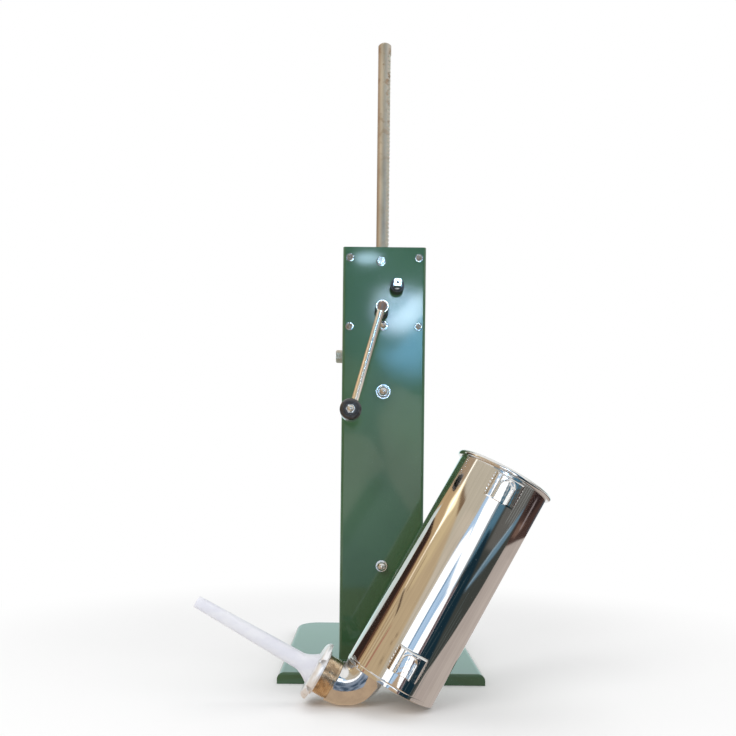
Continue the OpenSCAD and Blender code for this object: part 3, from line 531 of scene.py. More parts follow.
def white_plastic():
    """Milky white, a little blue, with faint flow marks."""
    f = Finish("white_plastic", Subsurface_Weight=0.35, Subsurface_Scale=0.006,
               Subsurface_Radius=(1.0, 1.0, 1.0))
    flow = f.noise(35.0, 3.0, (1.0, 1.0, 2.0))
    colour = f.blend(flow.rises(0.3, 0.7), (0.74, 0.75, 0.84), (0.82, 0.83, 0.89))
    f.feed(Base_Color=colour, Roughness=0.34 + flow * 0.12)
    f.relief(flow, 0.0001, 0.2)
    return f


milky = white_plastic()
milky.put_on("piston_plate", "air_valve")


def nozzle_skin():
    """Flange, cone and tube outside, then back inside at one wall's distance. The cone's radius falls from
    the nut to the tube as root + (cone - root) (1 - u)^1.6."""
    gap, flange_r, flange_t, wall = 0.0015, neck_r - 0.001, 0.002, 0.0015
    cone_r, root_r, tip_r, cone_len, spout_len = 0.0205, 0.0105, 0.0075, 0.023, 0.145
    start, end = bend_x + neck_len + gap, flange_t + cone_len + spout_len
    u = np.linspace(0, 1, 24)
    cone = root_r + (cone_r - root_r) * (1 - u) ** 1.6
    cone_s = flange_t + lip_h + u * (cone_len - lip_h)
    v = np.linspace(0, 1, 16)[1:]
    tube = root_r + (tip_r - root_r) * v
    tube_s = flange_t + cone_len + v * spout_len
    radius = np.concatenate([[cone_r - wall, flange_r, flange_r, cone_r], cone, tube, [tip_r - 0.0004]])
    distance = np.concatenate([[0, 0, flange_t, flange_t], cone_s, tube_s, [end]])
    inner_r = np.concatenate([cone, tube])[::-1] - wall
    inner_s = np.concatenate([cone_s, tube_s])[::-1]
    radius = np.concatenate([radius, inner_r])[:, None]
    distance = np.concatenate([distance, inner_s])[:, None] + start
    distance = np.minimum(distance, start + end)
    angle = circle(96)[None, :]
    return on_outlet(radius + 0 * angle, distance + 0 * angle, angle)


nozzle = piece("nozzle_skin", [nozzle_skin()], milky, "outlet")
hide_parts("nozzle")


# Bright zinc-plated bolts, studs and cap nuts on the column's face, and the duller plated fasteners, plates,
# spacers and sleeves of the gearbox, the brake, the tray and the piston.

def plated(name, light, dark, rough):
    """Plating with fine mottling, a dull haze in patches and a little brown in them."""
    f = Finish(name, Metallic=1.0)
    mottle = f.noise(700.0, 3.0)
    haze = f.noise(160.0, 3.0).rises(0.45, 0.75)
    colour = f.blend(mottle.rises(0.35, 0.65), light, dark)
    colour = f.blend(haze * 0.5, colour, (0.42, 0.33, 0.20))
    f.feed(Base_Color=colour, Roughness=rough + mottle * 0.10 + haze * 0.12)
    f.relief(mottle, 0.00003, 0.4)
    return f


bright = plated("bright_fasteners", (0.80, 0.79, 0.76), (0.62, 0.61, 0.58), 0.16)
bright.put_on("top_bolt", "gearbox_stud", "hanger_dome_nuts", "hanger_studs", "knob_nut")
dull = plated("plated_steel", (0.62, 0.60, 0.52), (0.46, 0.43, 0.34), 0.32)
dull.put_on("front_cover_screws", "lower_guide", "bearing_plate", "plate_spacers", "plate_nuts",
            "hanger_sleeves", "brake_boss", "brake_screw", "foot_bolts", "piston_nut")


# The washers: punched from sheet and tumbled, so their edges are rounded and catch the light. The small ones
# lie under the corner screws, the top bolt and the stud, and two larger ones under the hangers' cap nuts.

washer_t, hole_r, small_r, large_r, plate_front = 0.0012, 0.0027, 0.00575, 0.00675, -0.144
screw_x, screw_z, bolt_at, stud_at = 0.048, (0.489, 0.585), (-0.005, 0.580), (-0.001, 0.490)
washer_steel = plated("washer_steel", (0.70, 0.69, 0.66), (0.50, 0.49, 0.46), 0.10)


def washer(centre, rim_r):
    """A ring with an edge rounded by a third of its thickness, turned to face the crank side: the profile
    goes up the hole, round its edge, round the rim's edge and down."""
    soft = washer_t / 3
    profile = np.concatenate([
        line((hole_r, 0.0), (hole_r, washer_t - soft), 3),
        arc((hole_r + soft, washer_t - soft), soft, 180, 90, 5),
        arc((rim_r - soft, washer_t - soft), soft, 90, 0, 6),
        line((rim_r, washer_t - soft), (rim_r, 0.0), 3),
    ])
    grid = revolved(profile[:, 0], profile[:, 1], 72)
    return np.stack([centre[0] + grid[..., 0], plate_front - grid[..., 2], centre[1] + grid[..., 1]], -1)


places = [((x, z), small_r) for x in (-screw_x, screw_x) for z in screw_z]
places += [(bolt_at, large_r), (stud_at, large_r)]
rings = [washer(place, rim_r) for place, rim_r in places]
small_washers = piece("gearbox_washer_rings", rings, washer_steel, "frame")
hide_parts("gearbox_washers")


def hanger_washer_steel():
    """Plated steel, with the upper washer's face dark green and not metallic inside a bare rim. Its middle
    and radius come from the box round both washers, and the green fades out 1.2 to 1.8 mm inside the radius."""
    f = Finish("hanger_washer_steel")
    low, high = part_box("hanger_washers")
    radius = (high[0] - low[0]) / 2
    from_stud = f.from_line(low[0] + radius, high[2] - radius)
    mottle = f.noise(600.0, 3.0)
    green_face = from_stud.rises(radius - 0.0012, radius - 0.0018) * (0.75 + mottle * 0.25)
    colour = f.blend(green_face, (0.76, 0.76, 0.74), (0.045, 0.065, 0.045))
    f.feed(Base_Color=colour, Roughness=0.14 + mottle * 0.10 + green_face * 0.12, Metallic=1.0 - green_face)
    return f


hanger_washer_steel().put_on("hanger_washers")


# The four gearbox screws: pan heads with a cross recess, their zinc gone brown and dull. They go through
# the column's face and the spacers to the nuts on the inner plate.

head_r, head_h, shank_r, shank_len = 0.00425, 0.003, 0.0025, 0.046
reach, half, deep = 0.0024, 0.00055, 0.0014


def screw_centres():
    """Middle of each head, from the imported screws: the corners of the box round all four."""
    low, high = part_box("gearbox_screws")
    sides = (low[0] + head_r, high[0] - head_r)
    heights = (low[2] + head_r, high[2] - head_r)
    return [(x, low[1], z) for x in sides for z in heights]


def pan_screw(centre):
    """A shallow dome, a rounded edge and a straight shank, closed at both poles: the dome drops by
    0.7 q² + 1.2 q^10 mm, where q is the share of the head's radius. The recess sinks it by deep where |x| or
    |y| is under its half width and the other is under its reach."""
    dome_rows = 26
    top = np.sin(np.linspace(0, math.pi / 2, dome_rows)) * head_r
    drop = 0.0007 * (top / head_r) ** 2 + 0.0012 * (top / head_r) ** 10
    radius = np.concatenate([top, [head_r, shank_r, shank_r, 0.0]])
    height = np.concatenate([-drop, [-head_h, -head_h, -head_h - shank_len, -head_h - shank_len]])
    grid = revolved(radius, height, 96)
    x, y = grid[..., 0], grid[..., 1]

    def inside(v, limit):
        """1 where |v| is under the limit and 0 beyond it, with a step as wide as the flank."""
        flank = 0.00025
        return np.clip((limit - np.abs(v)) / flank + 0.5, 0, 1)

    cross = np.maximum(inside(x, half) * inside(y, reach), inside(y, half) * inside(x, reach))
    cross[dome_rows:] = 0
    z = grid[..., 2] - deep * cross
    return np.stack([centre[0] + x, centre[1] - z, centre[2] + y], -1)


browned = plated("browned_screws", (0.50, 0.46, 0.40), (0.30, 0.25, 0.20), 0.26)
heads = [pan_screw(centre) for centre in screw_centres()]
screws = piece("gearbox_screw_heads", heads, browned, "frame", close_rows=False)
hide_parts("gearbox_screws")


# The rack: a bare round bar of drawn steel with its teeth cut along one side, tarnished to tan, with brown
# stains near its top. The pinion drives it.

def rack_steel():
    """Tan at the top and grey lower down and towards the teeth, a brown left side that is painted shade, long
    drawing lines, and rust spots that thicken towards the top."""
    f = Finish("rack_steel", Metallic=1.0)
    height = f.axis("Z")
    across = f.axis("X")
    lines = f.noise(500.0, 3.0, (1.0, 1.0, 0.03))
    patch = f.noise(38.0, 4.0, (1.0, 1.0, 0.5))
    rust = f.noise(75.0, 5.0).rises(0.51, 0.66) * (height.rises(0.70, 0.93) * 0.8 + 0.2)
    colour = f.blend(patch.rises(0.35, 0.65), (0.60, 0.50, 0.36), (0.47, 0.39, 0.28))
    colour = f.blend(height.rises(0.75, 0.55).either(across.rises(-0.001, 0.004)), colour, (0.54, 0.49, 0.41))
    # painted shade: the bar's left side turns brown
    colour = f.blend(across.rises(-0.0045, -0.0085) * 0.8, colour, (0.36, 0.24, 0.15))
    colour = f.blend(rust * 0.8, colour, (0.27, 0.16, 0.08))
    f.feed(Base_Color=colour, Roughness=0.38 + lines * 0.14 + rust * 0.2, Metallic=1.0 - rust * 0.7)
    f.relief(lines, 0.00005, 0.5)
    return f


rack_steel().put_on("rack_bar")


# The gears and shafts: machined steel with a film of grease. The pinion's shaft comes out through the
# column's face, ground bright, with a centre hole in its end.

def gear_steel():
    """Grey machined faces with fine tool marks and darker grease between them."""
    f = Finish("gear_steel", Metallic=1.0)
    tool = f.noise(900.0, 2.0, (1.0, 0.1, 1.0))
    grease = f.noise(90.0, 4.0).rises(0.5, 0.68)
    colour = f.blend(grease * 0.7, (0.55, 0.55, 0.54), (0.20, 0.17, 0.12))
    f.feed(Base_Color=colour, Roughness=0.22 + tool * 0.15)
    f.relief(tool, 0.00003, 0.4)
    return f


pinion_x, pinion_z, centre_hole_r, hole_shade_from, hole_shade_full = 0.0173, 0.543, 0.0016, -0.160, -0.164


def shaft_steel():
    """Brighter ground steel, with painted shade in the centre hole: near black within the hole's radius of
    the shaft's middle line, near the shaft's end."""
    f = Finish("shaft_steel")
    ground = f.noise(800.0, 2.0, (1.0, 0.2, 1.0))
    # painted shade: near black inside the centre hole in the shaft's end
    hole_shade = f.from_line(pinion_x, pinion_z).rises(centre_hole_r + 0.0003, centre_hole_r - 0.0001)
    hole_shade = hole_shade * f.axis("Y").rises(hole_shade_from, hole_shade_full)
    colour = f.blend(hole_shade, (0.74, 0.74, 0.72), (0.012, 0.010, 0.009))
    f.feed(Base_Color=colour, Roughness=0.18 + ground * 0.12 + hole_shade * 0.5, Metallic=1.0 - hole_shade)
    return f


gear_steel().put_on("crank_pinion", "drive_gear", "rack_pinion", "crank_shaft", "shaft_clips")
shaft_steel().put_on("pinion_shaft")


# The crank arm and the knob's pin: polished steel rod with a thin chrome plate, a little yellowed. The
# arm's boss is clamped on the slow shaft, with shade painted on its face round the shaft.

crank_x, crank_z, boss_shade_from, boss_shade_full = -0.00374, 0.5084, 0.0080, 0.0070


def crank_chrome():
    """Warm chrome with long rod lines and brown freckles. Near the shaft the boss's face has painted shade.
    """
    f = Finish("crank_chrome", Metallic=1.0)
    lines = f.noise(400.0, 2.0, (1.0, 1.0, 0.05))
    freckle = f.noise(260.0, 4.0).rises(0.68, 0.78)
    # painted shade: the boss's face darkens close round the shaft
    boss_shade = f.from_line(crank_x, crank_z).rises(boss_shade_from, boss_shade_full)
    colour = f.blend(freckle * 0.8, (0.86, 0.78, 0.69), (0.30, 0.19, 0.10))
    colour = f.blend(boss_shade * 0.85, colour, (0.22, 0.14, 0.10))
    f.feed(Base_Color=colour, Roughness=0.16 + lines * 0.06 + freckle * 0.3 + boss_shade * 0.2)
    return f


crank_chrome().put_on("crank_arm", "knob_pin")


# The black pieces: the collars round both shafts, the rack's bush and the brake shoe, moulded in a satin
# plastic, and the crank's set screw, blackened to match.

def black_collar():
    """Satin black with worn grey patches and a fine grain."""
    f = Finish("black_collar", Specular_IOR_Level=0.5)
    worn = f.noise(220.0, 4.0).rises(0.62, 0.76)
    colour = f.blend(worn * 0.6, (0.016, 0.016, 0.017), (0.10, 0.095, 0.09))
    f.feed(Base_Color=colour, Roughness=0.36 + worn * 0.2)
    f.relief(f.noise(1200.0, 2.0), 0.00003, 0.4)
    return f


black_collar().put_on("shaft_collars", "rack_bush", "crank_set_screw", "brake_shoe")


# The knob: glossy black phenolic, moulded and buffed. It turns on the pin in the crank arm's end, and a
# small nut holds it there.

def knob_black():
    """Deep black with a faint brown tone, buffing swirls and a clear gloss."""
    f = Finish("knob_black", Coat_Roughness=0.06)
    swirl = f.noise(130.0, 3.0)
    colour = f.blend(swirl.rises(0.3, 0.7), (0.010, 0.010, 0.011), (0.022, 0.019, 0.018))
    f.feed(Base_Color=colour, Roughness=0.16 + swirl * 0.14, Coat_Weight=0.5 + swirl * 0.3)
    return f


knob_black().put_on("knob")


# The bushes of both shafts: turned bronze, oiled and darkened, pressed into the face, the inner plate and
# the front cover.

def bronze():
    """Brown bronze with turning rings and dark oil."""
    f = Finish("bronze", Metallic=1.0)
    rings = f.noise(600.0, 2.0, (1.0, 0.1, 1.0))
    colour = f.blend(f.noise(120.0, 3.0).rises(0.4, 0.7), (0.62, 0.43, 0.18), (0.34, 0.22, 0.10))
    f.feed(Base_Color=colour, Roughness=0.26 + rings * 0.14)
    return f


bronze().put_on("crank_bushes", "pinion_bushes")


# The seals: black food rubber. One goes round the piston, and one is clamped between the neck and the
# nozzle's flange.

def seal_rubber():
    """Matt black with a fine grain and pale bloom."""
    f = Finish("seal_rubber")
    bloom = f.noise(140.0, 3.0).rises(0.5, 0.8)
    colour = f.blend(bloom * 0.5, (0.020, 0.020, 0.021), (0.07, 0.068, 0.065))
    f.feed(Base_Color=colour, Roughness=0.6 + bloom * 0.2)
    f.relief(f.noise(1500.0, 1.0), 0.00004, 0.4)
    return f


seal_rubber().put_on("piston_seal", "nozzle_gasket")


# The studio: a pale floor under a white backdrop, soft lamps, and glowing sheets that only the metal sees.
# The first sheet stands round the cylinder, painted with the bands of the room that its mirror shows.

eye_at = np.array([-0.03132, -1.22287, 0.27793])
dome_middle, dome_r = stood([0.0, 0.0, tube_len / 2]), 0.75
image_shift, image_spread, image_half, image_swell, image_end = 0.035, 0.028, 0.982, 0.062, 0.985
ring_sag, ring_rise, over_floor = 0.0136, 0.0593, 0.0006


def unit(vectors):
    """Each vector at length 1: v / |v|."""
    return vectors / np.linalg.norm(vectors, axis=-1, keepdims=True)


def mirrored(across, along):
    """Where the eye's ray ends after the cylinder. The share t across the image is drawn in to the
    surface's own share w = u (1 - swell sqrt(1 - u²)), with u = (t + shift + spread |t|) / half, since the
    near side looks larger. The share s along it moves by (sag - rise s) sqrt(1 - u²), as its rings look
    bowed. From the spot P = foot + s L A + r N, with N = sqrt(1 - w²) F + w S, where F faces the eye and S
    points right, the ray D leaves along D - 2 (D.N) N until it meets the floor or the dome."""
    share = np.clip((across + image_shift + image_spread * np.abs(across)) / image_half, -1, 1)
    along = along + np.sqrt(1 - share ** 2) * (ring_sag - ring_rise * along)
    share = np.clip(share * (1 - image_swell * np.sqrt(1 - share ** 2)), -image_end, image_end)
    axis = turned([0.0, 0.0, 1.0])
    middle = foot + along[..., None] * tube_len * axis
    view = eye_at - middle
    face = unit(view - (view @ axis)[..., None] * axis)
    right = np.cross(axis, face)
    normal = np.sqrt(1 - share ** 2)[..., None] * face + share[..., None] * right
    spot = middle + tube_r * normal
    ray = unit(spot - eye_at)
    ray -= 2 * np.sum(ray * normal, -1, keepdims=True) * normal
    from_middle = spot - dome_middle
    b = np.sum(from_middle * ray, -1)
    reach = -b + np.sqrt(b ** 2 + dome_r ** 2 - np.sum(from_middle ** 2, -1))
    down = (spot[..., 2] - over_floor) / np.maximum(-ray[..., 2], 1e-6)
    return spot + np.minimum(reach, down)[..., None] * ray


def hide_from_view(made):
    """Leaves a sheet to reflections only: it lights nothing, hides nothing and casts nothing."""
    made.visible_camera = made.visible_diffuse = made.visible_transmission = False
    made.visible_shadow = made.visible_volume_scatter = False


def light_of(screen, strength=1.0):
    """A screen colour as the light that a card needs, since the steel gives back about three quarters."""
    steel = np.array([0.76, 0.75, 0.73])
    return strength * ((np.array(screen) / 255 + 0.055) / 1.055) ** 2.4 / steel


rows, columns = 260, 760
along, across = np.meshgrid(np.linspace(-0.12, 1.055, rows), np.linspace(-1, 1, columns), indexing="ij")
painting = np.ones((rows, columns, 3)) * light_of((181, 171, 153))


def band(colour, soft, *edges, strength=1.0, cover=1.0):
    """Paints one band. Each row gives, in thousandths, a place along the length from the foot, and there the
    left and the right edge as shares of half the image. The new colour's share is 3q² - 2q³, where q rises
    from 0 to 1 over the softness at either edge, and over a set length at either end."""
    end_soft = 0.015
    s_given, left, right = np.array(sorted(edges)).T / 1000
    low, high = np.interp(along, s_given, left), np.interp(along, s_given, right)
    inside = np.minimum(across - low, high - across) / soft + 0.5
    ends = np.minimum(along - s_given[0], s_given[-1] - along) / end_soft + 0.5
    share = np.clip(np.minimum(inside, ends), 0, 1)
    share = (share * share * (3 - 2 * share) * cover)[..., None]
    painting[...] = painting * (1 - share) + light_of(colour, strength) * share


# left of the middle: gold and beige, a glint above a thin bright line, fine lines, a dark and a pale strip
band((158, 136, 112), 0.02, (780, -1000, -735), (1200, -1000, -735))
band((178, 150, 113), 0.03, (-300, -1000, -715), (600, -1000, -715), (800, -1000, -720), (860, -900, -735))
band((178, 156, 124), 0.07, (-300, -730, -270), (200, -730, -300), (500, -730, -340), (650, -720, -420),
     (800, -700, -520), (870, -700, -660))
band((194, 172, 134), 0.10, (400, -640, -600), (550, -690, -540), (750, -690, -520), (840, -680, -600))
band((188, 176, 158), 0.05, (200, -300, -170), (500, -330, -170), (800, -400, -170))
band((158, 152, 136), 0.012, (-300, -272, -250), (300, -262, -245), (660, -250, -235), cover=0.6)
band((116, 92, 68), 0.02, (765, -510, -500), (800, -575, -500), (835, -635, -500), (860, -675, -600),
     (890, -690, -685))
band((204, 184, 146), 0.02, (755, -550, -530), (790, -615, -580), (820, -655, -620), cover=0.8)
band((196, 204, 201), 0.008, (-300, -1050, -1000), (50, -1050, -978), (250, -1050, -936),
     (450, -1050, -910), (650, -1050, -895), (760, -900, -890))
band((48, 35, 30), 0.010, (-300, -1000, -825), (50, -977, -806), (250, -935, -785), (450, -908, -777),
     (600, -893, -785), (640, -893, -795), (700, -900, -880))
band((96, 66, 50), 0.012, (-300, -870, -830), (50, -850, -812), (250, -825, -790), (450, -805, -782),
     (630, -800, -785))
band((255, 236, 196), 0.045, (660, -720, -700), (740, -735, -680), (775, -760, -650), (800, -765, -645),
     (830, -750, -665), (900, -725, -690), strength=1.3)
band((255, 248, 232), 0.010, (600, -725, -703), (1200, -725, -703), strength=1.3)
band((238, 218, 188), 0.010, (360, -722, -704), (610, -727, -705))
band((126, 102, 76), 0.008, (370, -652, -636), (550, -652, -638), cover=0.7)
band((70, 52, 40), 0.010, (262, -615, -600), (300, -655, -612), (360, -715, -685), (378, -722, -712))
for stripe in range(7):
    left = -775 + 27 * stripe
    shade = ((132, 106, 74), (206, 186, 150))[stripe % 2]
    band(shade, 0.008, (-300, left - 50, left - 40), (100, left - 15, left - 6),
         (360 - 22 * stripe, left, left + 9), cover=0.75)
band((158, 102, 86), 0.010, (-300, -690, -660), (20, -635, -605), (120, -615, -590), (215, -590, -575),
     cover=0.85)

# three short faint marks beside the lower lug
for place, left, right in ((192, -400, -350), (152, -415, -375), (73, -420, -370)):
    band((92, 72, 50), 0.010, (place - 6, left, right), (place + 4, left, right - 10))

# the middle: two white bands with blue between them
band((146, 138, 130), 0.012, (-300, -235, -210), (200, -218, -195), (700, -190, -165), cover=0.8)
band((170, 196, 222), 0.014, (-300, -220, 190), (200, -205, 185), (600, -185, 170), (800, -150, 140),
     (1200, -160, 130))
band((255, 255, 255), 0.018, (-300, -225, -60), (180, -205, -50), (360, -200, -45), (550, -190, -45),
     (660, -160, -30), (740, -100, -80), strength=1.2)
band((255, 255, 255), 0.020, (460, 90, 150), (520, 40, 155), (620, -20, 150), (850, -90, 125),
     (1200, -100, 120), strength=1.2)
band((255, 255, 255), 0.014, (-300, 70, 190), (200, 75, 185), (360, 90, 190), (470, 120, 170),
     strength=1.2)
band((108, 138, 164), 0.010, (-300, -60, -35), (360, -45, -20), (500, -42, -15), (580, -35, -20))
band((132, 162, 192), 0.012, (-300, 40, 60), (300, 50, 70), (500, 60, 75), cover=0.6)

# right of them: a broad dark band with thin bright lines, a steel-blue streak, and warm grey at the edge
band((168, 156, 148), 0.012, (-300, 400, 1020), (150, 500, 1020), (1200, 550, 1020))
band((178, 166, 157), 0.10, (-300, 700, 860), (700, 780, 900), cover=0.7)
band((60, 62, 58), 0.012, (-300, 190, 440), (120, 185, 505), (200, 185, 550), (300, 190, 590),
     (450, 180, 630), (550, 175, 652), (745, 165, 670), (900, 130, 660), (1200, 120, 660))
band((92, 90, 86), 0.06, (700, 340, 520), (850, 320, 640), (1200, 300, 640))
band((78, 112, 130), 0.05, (600, 180, 240), (720, 170, 270), (850, 150, 280), (1200, 140, 300))
band((22, 42, 52), 0.05, (-300, 230, 400), (150, 230, 460), (300, 220, 410), (500, 210, 380),
     (600, 200, 360), (780, 220, 270))
band((140, 148, 152), 0.012, (450, 172, 188), (600, 150, 178), (800, 130, 160), (1200, 120, 155))
band((98, 80, 82), 0.010, (-300, 200, 235), (300, 190, 220), (500, 178, 210))
band((186, 176, 178), 0.006, (-300, 238, 246), (300, 222, 230), (500, 212, 219), cover=0.8)
for left, end in ((270, 550), (330, 300), (450, 500), (490, 420), (540, 400)):
    band((92, 104, 104), 0.008, (-300, left - 60, left - 52), (200, left, left + 8),
         (end, left + 20, left + 27), cover=0.55)
for left in (455, 500, 545, 585):
    band((150, 154, 152), 0.010, (840, left - 20, left - 12), (1200, left + 10, left + 22), cover=0.7)
band((98, 124, 140), 0.030, (500, 385, 410), (600, 425, 490), (700, 475, 570), (800, 545, 620),
     (920, 620, 640))
band((150, 170, 182), 0.014, (520, 400, 410), (700, 475, 495), (840, 565, 585), cover=0.8)
band((68, 51, 46), 0.014, (742, 670, 675), (780, 660, 800), (815, 655, 945), (900, 635, 950),
     (1200, 630, 950))
band((40, 30, 30), 0.05, (900, 680, 800), (1200, 660, 930), cover=0.8)
band((116, 92, 80), 0.03, (790, 680, 740), (860, 680, 800), cover=0.8)
band((158, 146, 146), 0.016, (830, 745, 765), (970, 740, 765), cover=0.7)
band((78, 82, 88), 0.02, (830, 890, 955), (1200, 880, 955), cover=0.8)

# faint streaks along the whole mirror, and slow clouds
streaks = 0 * across
for waves, phase in ((97, 1), (171, 3), (263, 5), (61, 2)):
    streaks += np.sin(waves * across + phase + 2 * np.sin(3 * along + phase))
clouds = np.sin(31 * along + 11 * across) * np.sin(13 * along - 17 * across)
painting *= (1 + 0.022 * streaks + 0.02 * clouds)[..., None]


def glowing(f, surface):
    """Ends a finish with a glow that only mirrors find, since no lamp is made of it."""
    f.tree.links.new(surface.socket, f.tree.nodes["Material Output"].inputs[0])
    f.material.cycles.emission_sampling = "NONE"
    return f


def painted_room():
    """A glow in the colours of the painting."""
    f = Finish("painted_room")
    return glowing(f, f.node("Emission", at={0: f.node("Attribute", {"attribute_name": "painting"})}))


# left of the foot the floor stays bare, because the outlet mirrors it
points, bare_left_of = mirrored(across, along).reshape(-1, 3), 0.04
bare = (points[:, 2] < over_floor + 0.0004) & (points[:, 0] < bare_left_of)
faces = grid_faces(rows, columns)
sheet = set_mesh("room_round_the_cylinder", points, faces[~bare[faces].any(1)], painted_room())
colours = sheet.data.color_attributes.new("painting", "FLOAT_COLOR", "POINT")
colours.data.foreach_set("color", np.concatenate([painting, np.ones((rows, columns, 1))], -1).ravel())
hide_from_view(sheet)


def glow(name, colour, mottle=None):
    """A plain glowing finish, or one that a noise mottles between two colours."""
    f = Finish(name)
    if mottle:
        colour = f.blend(f.noise(mottle[0], 4.0).rises(0.38, 0.62), colour, mottle[1])
    return glowing(f, f.node("Emission", at={0: colour}))


def flat_sheet(name, middle, wide, tall, finish, lines=2):
    """A flat rectangle of middle + u wide + v tall, with u and v from -1 to 1."""
    u, v = np.meshgrid(np.linspace(-1, 1, lines), np.linspace(-1, 1, lines), indexing="ij")
    points = np.array(middle) + u[..., None] * np.array(wide) + v[..., None] * np.array(tall)
    return set_mesh(name, points.reshape(-1, 3), grid_faces(lines, lines), finish)


def near_card(name, spot, normal, reach, wide, tall, colour, mottle):
    """A small card that the metal mirrors from one spot: it stands at a reach along D - 2 (D.N) N, square to
    that ray."""
    ray = unit(spot - eye_at)
    ray = ray - 2 * (ray @ normal) * normal
    side = unit(np.cross(ray, [0.0, 0.0, 1.0]))
    rise = np.cross(side, ray)
    middle, finish = spot + reach * ray, glow(name, colour, mottle)
    hide_from_view(flat_sheet(name, middle, wide * side, tall * rise, finish))


# the dark blue patch that the middle of the elbow's bend mirrors
bend_spot = stood([-bend_x + bend_r * 0.72, -elbow_r_out, -collar - bend_r * 0.72])
near_card("dark_before_elbow", bend_spot, turned([0.0, -1.0, 0.0]), 0.045, 0.031, 0.026, (0.060, 0.095, 0.15),
          (70.0, (0.36, 0.43, 0.54)))


def room_card(name, colour, turns, rise, reach):
    """A curved card round the object: between two turns from straight behind the eye, in degrees, between
    two heights, at one or two reaches, so that it stands as a wall or lies as a floor."""
    lines, middle_y = 13, -0.25
    a = np.radians(np.linspace(*turns, lines))[:, None]
    z, r = np.linspace(*rise, 2)[None, :], np.linspace(*reach, 2)[None, :]
    points = np.stack([r * np.sin(a), middle_y - r * np.cos(a), z + 0 * a], -1)
    hide_from_view(set_mesh(name, points.reshape(-1, 3), grid_faces(lines, 2), glow(name, tuple(colour))))


# a tan floor before the object, a pale teal wall behind it with a darker one above, and dull walls beside it
room_card("floor_tan", light_of((172, 148, 122)), (-110, 30), (0.0004, 0.0004), (0.03, 1.3))
room_card("wall_behind", light_of((196, 220, 218)), (130, 230), (0.0, 1.05), (2.7, 2.7))
room_card("wall_behind_high", light_of((88, 112, 96)), (130, 230), (1.05, 1.8), (2.7, 2.7))
room_card("wall_left", light_of((170, 152, 128)), (-128, -60), (0.0, 1.0), (2.8, 2.8))
room_card("wall_right", light_of((128, 122, 116)), (60, 125), (0.0, 1.2), (2.8, 2.8))


def window_glow(name, colour, strength, spot, half):
    """A soft bright patch that the flat column mirrors round a spot of its face (x, z): it stands where the
    mirrored eye looks through the spot, and fades from its middle as a smooth bump with ragged edges."""
    wall_y, beyond = -2.72, 1.2
    grow = 1 + (plate_front - wall_y) / (plate_front - eye_at[1])
    x, z = eye_at[0] + (spot[0] - eye_at[0]) * grow, eye_at[2] + (spot[1] - eye_at[2]) * grow
    wide, tall = half[0] * grow, half[1] * grow
    f = Finish(name)
    off_x, off_z = (f.axis("X") - x) / wide, (f.axis("Z") - z) / tall
    far = (off_x * off_x + off_z * off_z) ** 0.5
    ragged = far + (f.noise(5.0, 3.0) - 0.5) * 0.5
    light = f.node("Emission", at={0: colour, 1: strength})
    clear = f.node("BsdfTransparent")
    mix = f.node("MixShader", at={0: ragged.rises(1.0, 0.35), 1: clear, 2: light})
    across, up = (beyond * wide, 0, 0), (0, 0, beyond * tall)
    hide_from_view(flat_sheet(name, (x, wall_y, z), across, up, glowing(f, mix)))


# what the column's face mirrors: a dim blue wall with bright windows before it
room_card("wall_front", (0.05, 0.20, 0.36), (-30, 40), (0.0, 2.3), (2.75, 2.75))
window_glow("window_pane", (0.62, 0.80, 1.0), 42.0, (0.022, 0.513), (0.050, 0.048))
window_glow("window_body", (0.20, 0.55, 0.95), 13.0, (0.033, 0.478), (0.056, 0.080))
window_glow("window_small", (0.56, 0.80, 1.0), 27.0, (-0.023, 0.584), (0.026, 0.010))


def straight_or_mirrored(f):
    """1 for a ray from the eye, also by way of a mirror or a clear thing, and 0 for scattered light."""
    rays = [f.node("LightPath", out="Is " + kind + " Ray") for kind in ("Camera", "Glossy", "Transmission")]
    return rays[0].either(rays[1]).either(rays[2])


def floor_finish():
    """Pale paint that turns into the plain white backdrop away from the object, for the camera and for
    reflections alike. The object's shadow stays on the pale part."""
    f = Finish("floor_pale", Roughness=0.9, Specular_IOR_Level=0.0, Base_Color=(0.93, 0.93, 0.93, 1.0))
    away = f.node("VectorMath", {"operation": "LENGTH"}, {0: f.place}, out="Value")
    white = away.rises(0.35, 0.9) * straight_or_mirrored(f)
    light = f.node("Emission", at={0: (1.0, 1.0, 1.0), 1: 1.0})
    mix = f.node("MixShader", at={0: white, 1: Number(f, f.shader.outputs[0]), 2: light})
    f.tree.links.new(mix.socket, f.tree.nodes["Material Output"].inputs[0])
    return f


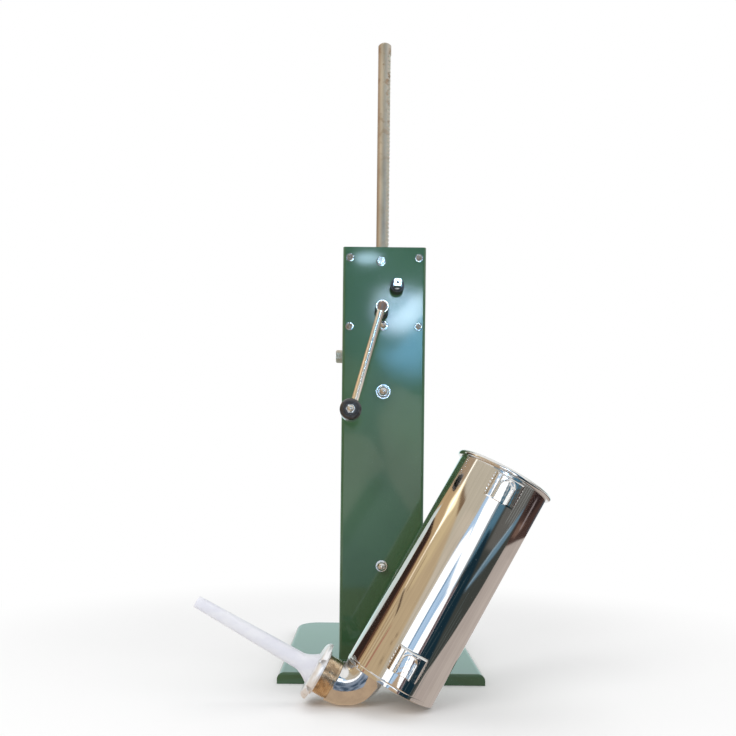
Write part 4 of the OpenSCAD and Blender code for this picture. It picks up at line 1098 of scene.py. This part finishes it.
# the floor is 12 m square and lies 0.2 mm under the tray
flat_sheet("floor", (0, 0, -0.0002), (6, 0, 0), (0, 6, 0), floor_finish(), lines=25)


class Backdrop(Finish):
    """The world's nodes, written like a finish: a white that the eye sees in full and that lights softly."""

    def __init__(self, soft_light):
        world = bpy.data.worlds.new("backdrop")
        world.use_nodes = True
        bpy.context.scene.world = world
        self.tree = world.node_tree
        self.shader = self.tree.nodes["Background"]
        self.shader.inputs["Color"].default_value = (1.0, 1.0, 1.0, 1.0)
        self.feed(Strength=straight_or_mirrored(self) * (1.0 - soft_light) + soft_light)


Backdrop(soft_light=0.62)


def lamp(name, place, aim, size, power):
    """A soft square lamp that looks at a point. Reflections see the cards instead."""
    data = bpy.data.lights.new(name, "AREA")
    data.size, data.energy = size, power
    made = bpy.data.objects.new(name, data)
    bpy.context.scene.collection.objects.link(made)
    made.location = place
    across = [a - p for a, p in zip(aim, place)]
    level_reach = math.hypot(across[0], across[1])
    made.rotation_euler = (math.atan2(level_reach, -across[2]), 0, math.atan2(-across[0], across[1]))
    made.visible_glossy = False
    made.visible_camera = False


lamp("key", (-1.3, -2.0, 1.9), (0, -0.1, 0.4), 1.4, 26.0)
lamp("fill", (1.8, -1.4, 1.2), (0, -0.1, 0.4), 1.6, 12.0)
lamp("top", (0.0, 0.4, 2.6), (0, 0, 0.3), 1.6, 14.0)

# the frame's width, the focal length, and the place that the eye looks straight at, all in pixels
frame_px, focal_px, straight_x_px, straight_y_px = 736, 772.9, 359.88, 477.55
sensor, eye_roll = 36.0, -0.0108
scene = bpy.context.scene
scene.view_settings.view_transform = "Standard"
eye = bpy.data.cameras.new("eye")
eye.sensor_width = sensor
eye.lens = focal_px / frame_px * sensor
eye.shift_x = (frame_px / 2 - straight_x_px) / frame_px
eye.shift_y = (straight_y_px - frame_px / 2) / frame_px
camera = bpy.data.objects.new("eye", eye)
scene.collection.objects.link(camera)
camera.location = eye_at
camera.rotation_euler = (math.radians(90), eye_roll, 0)
scene.camera = camera
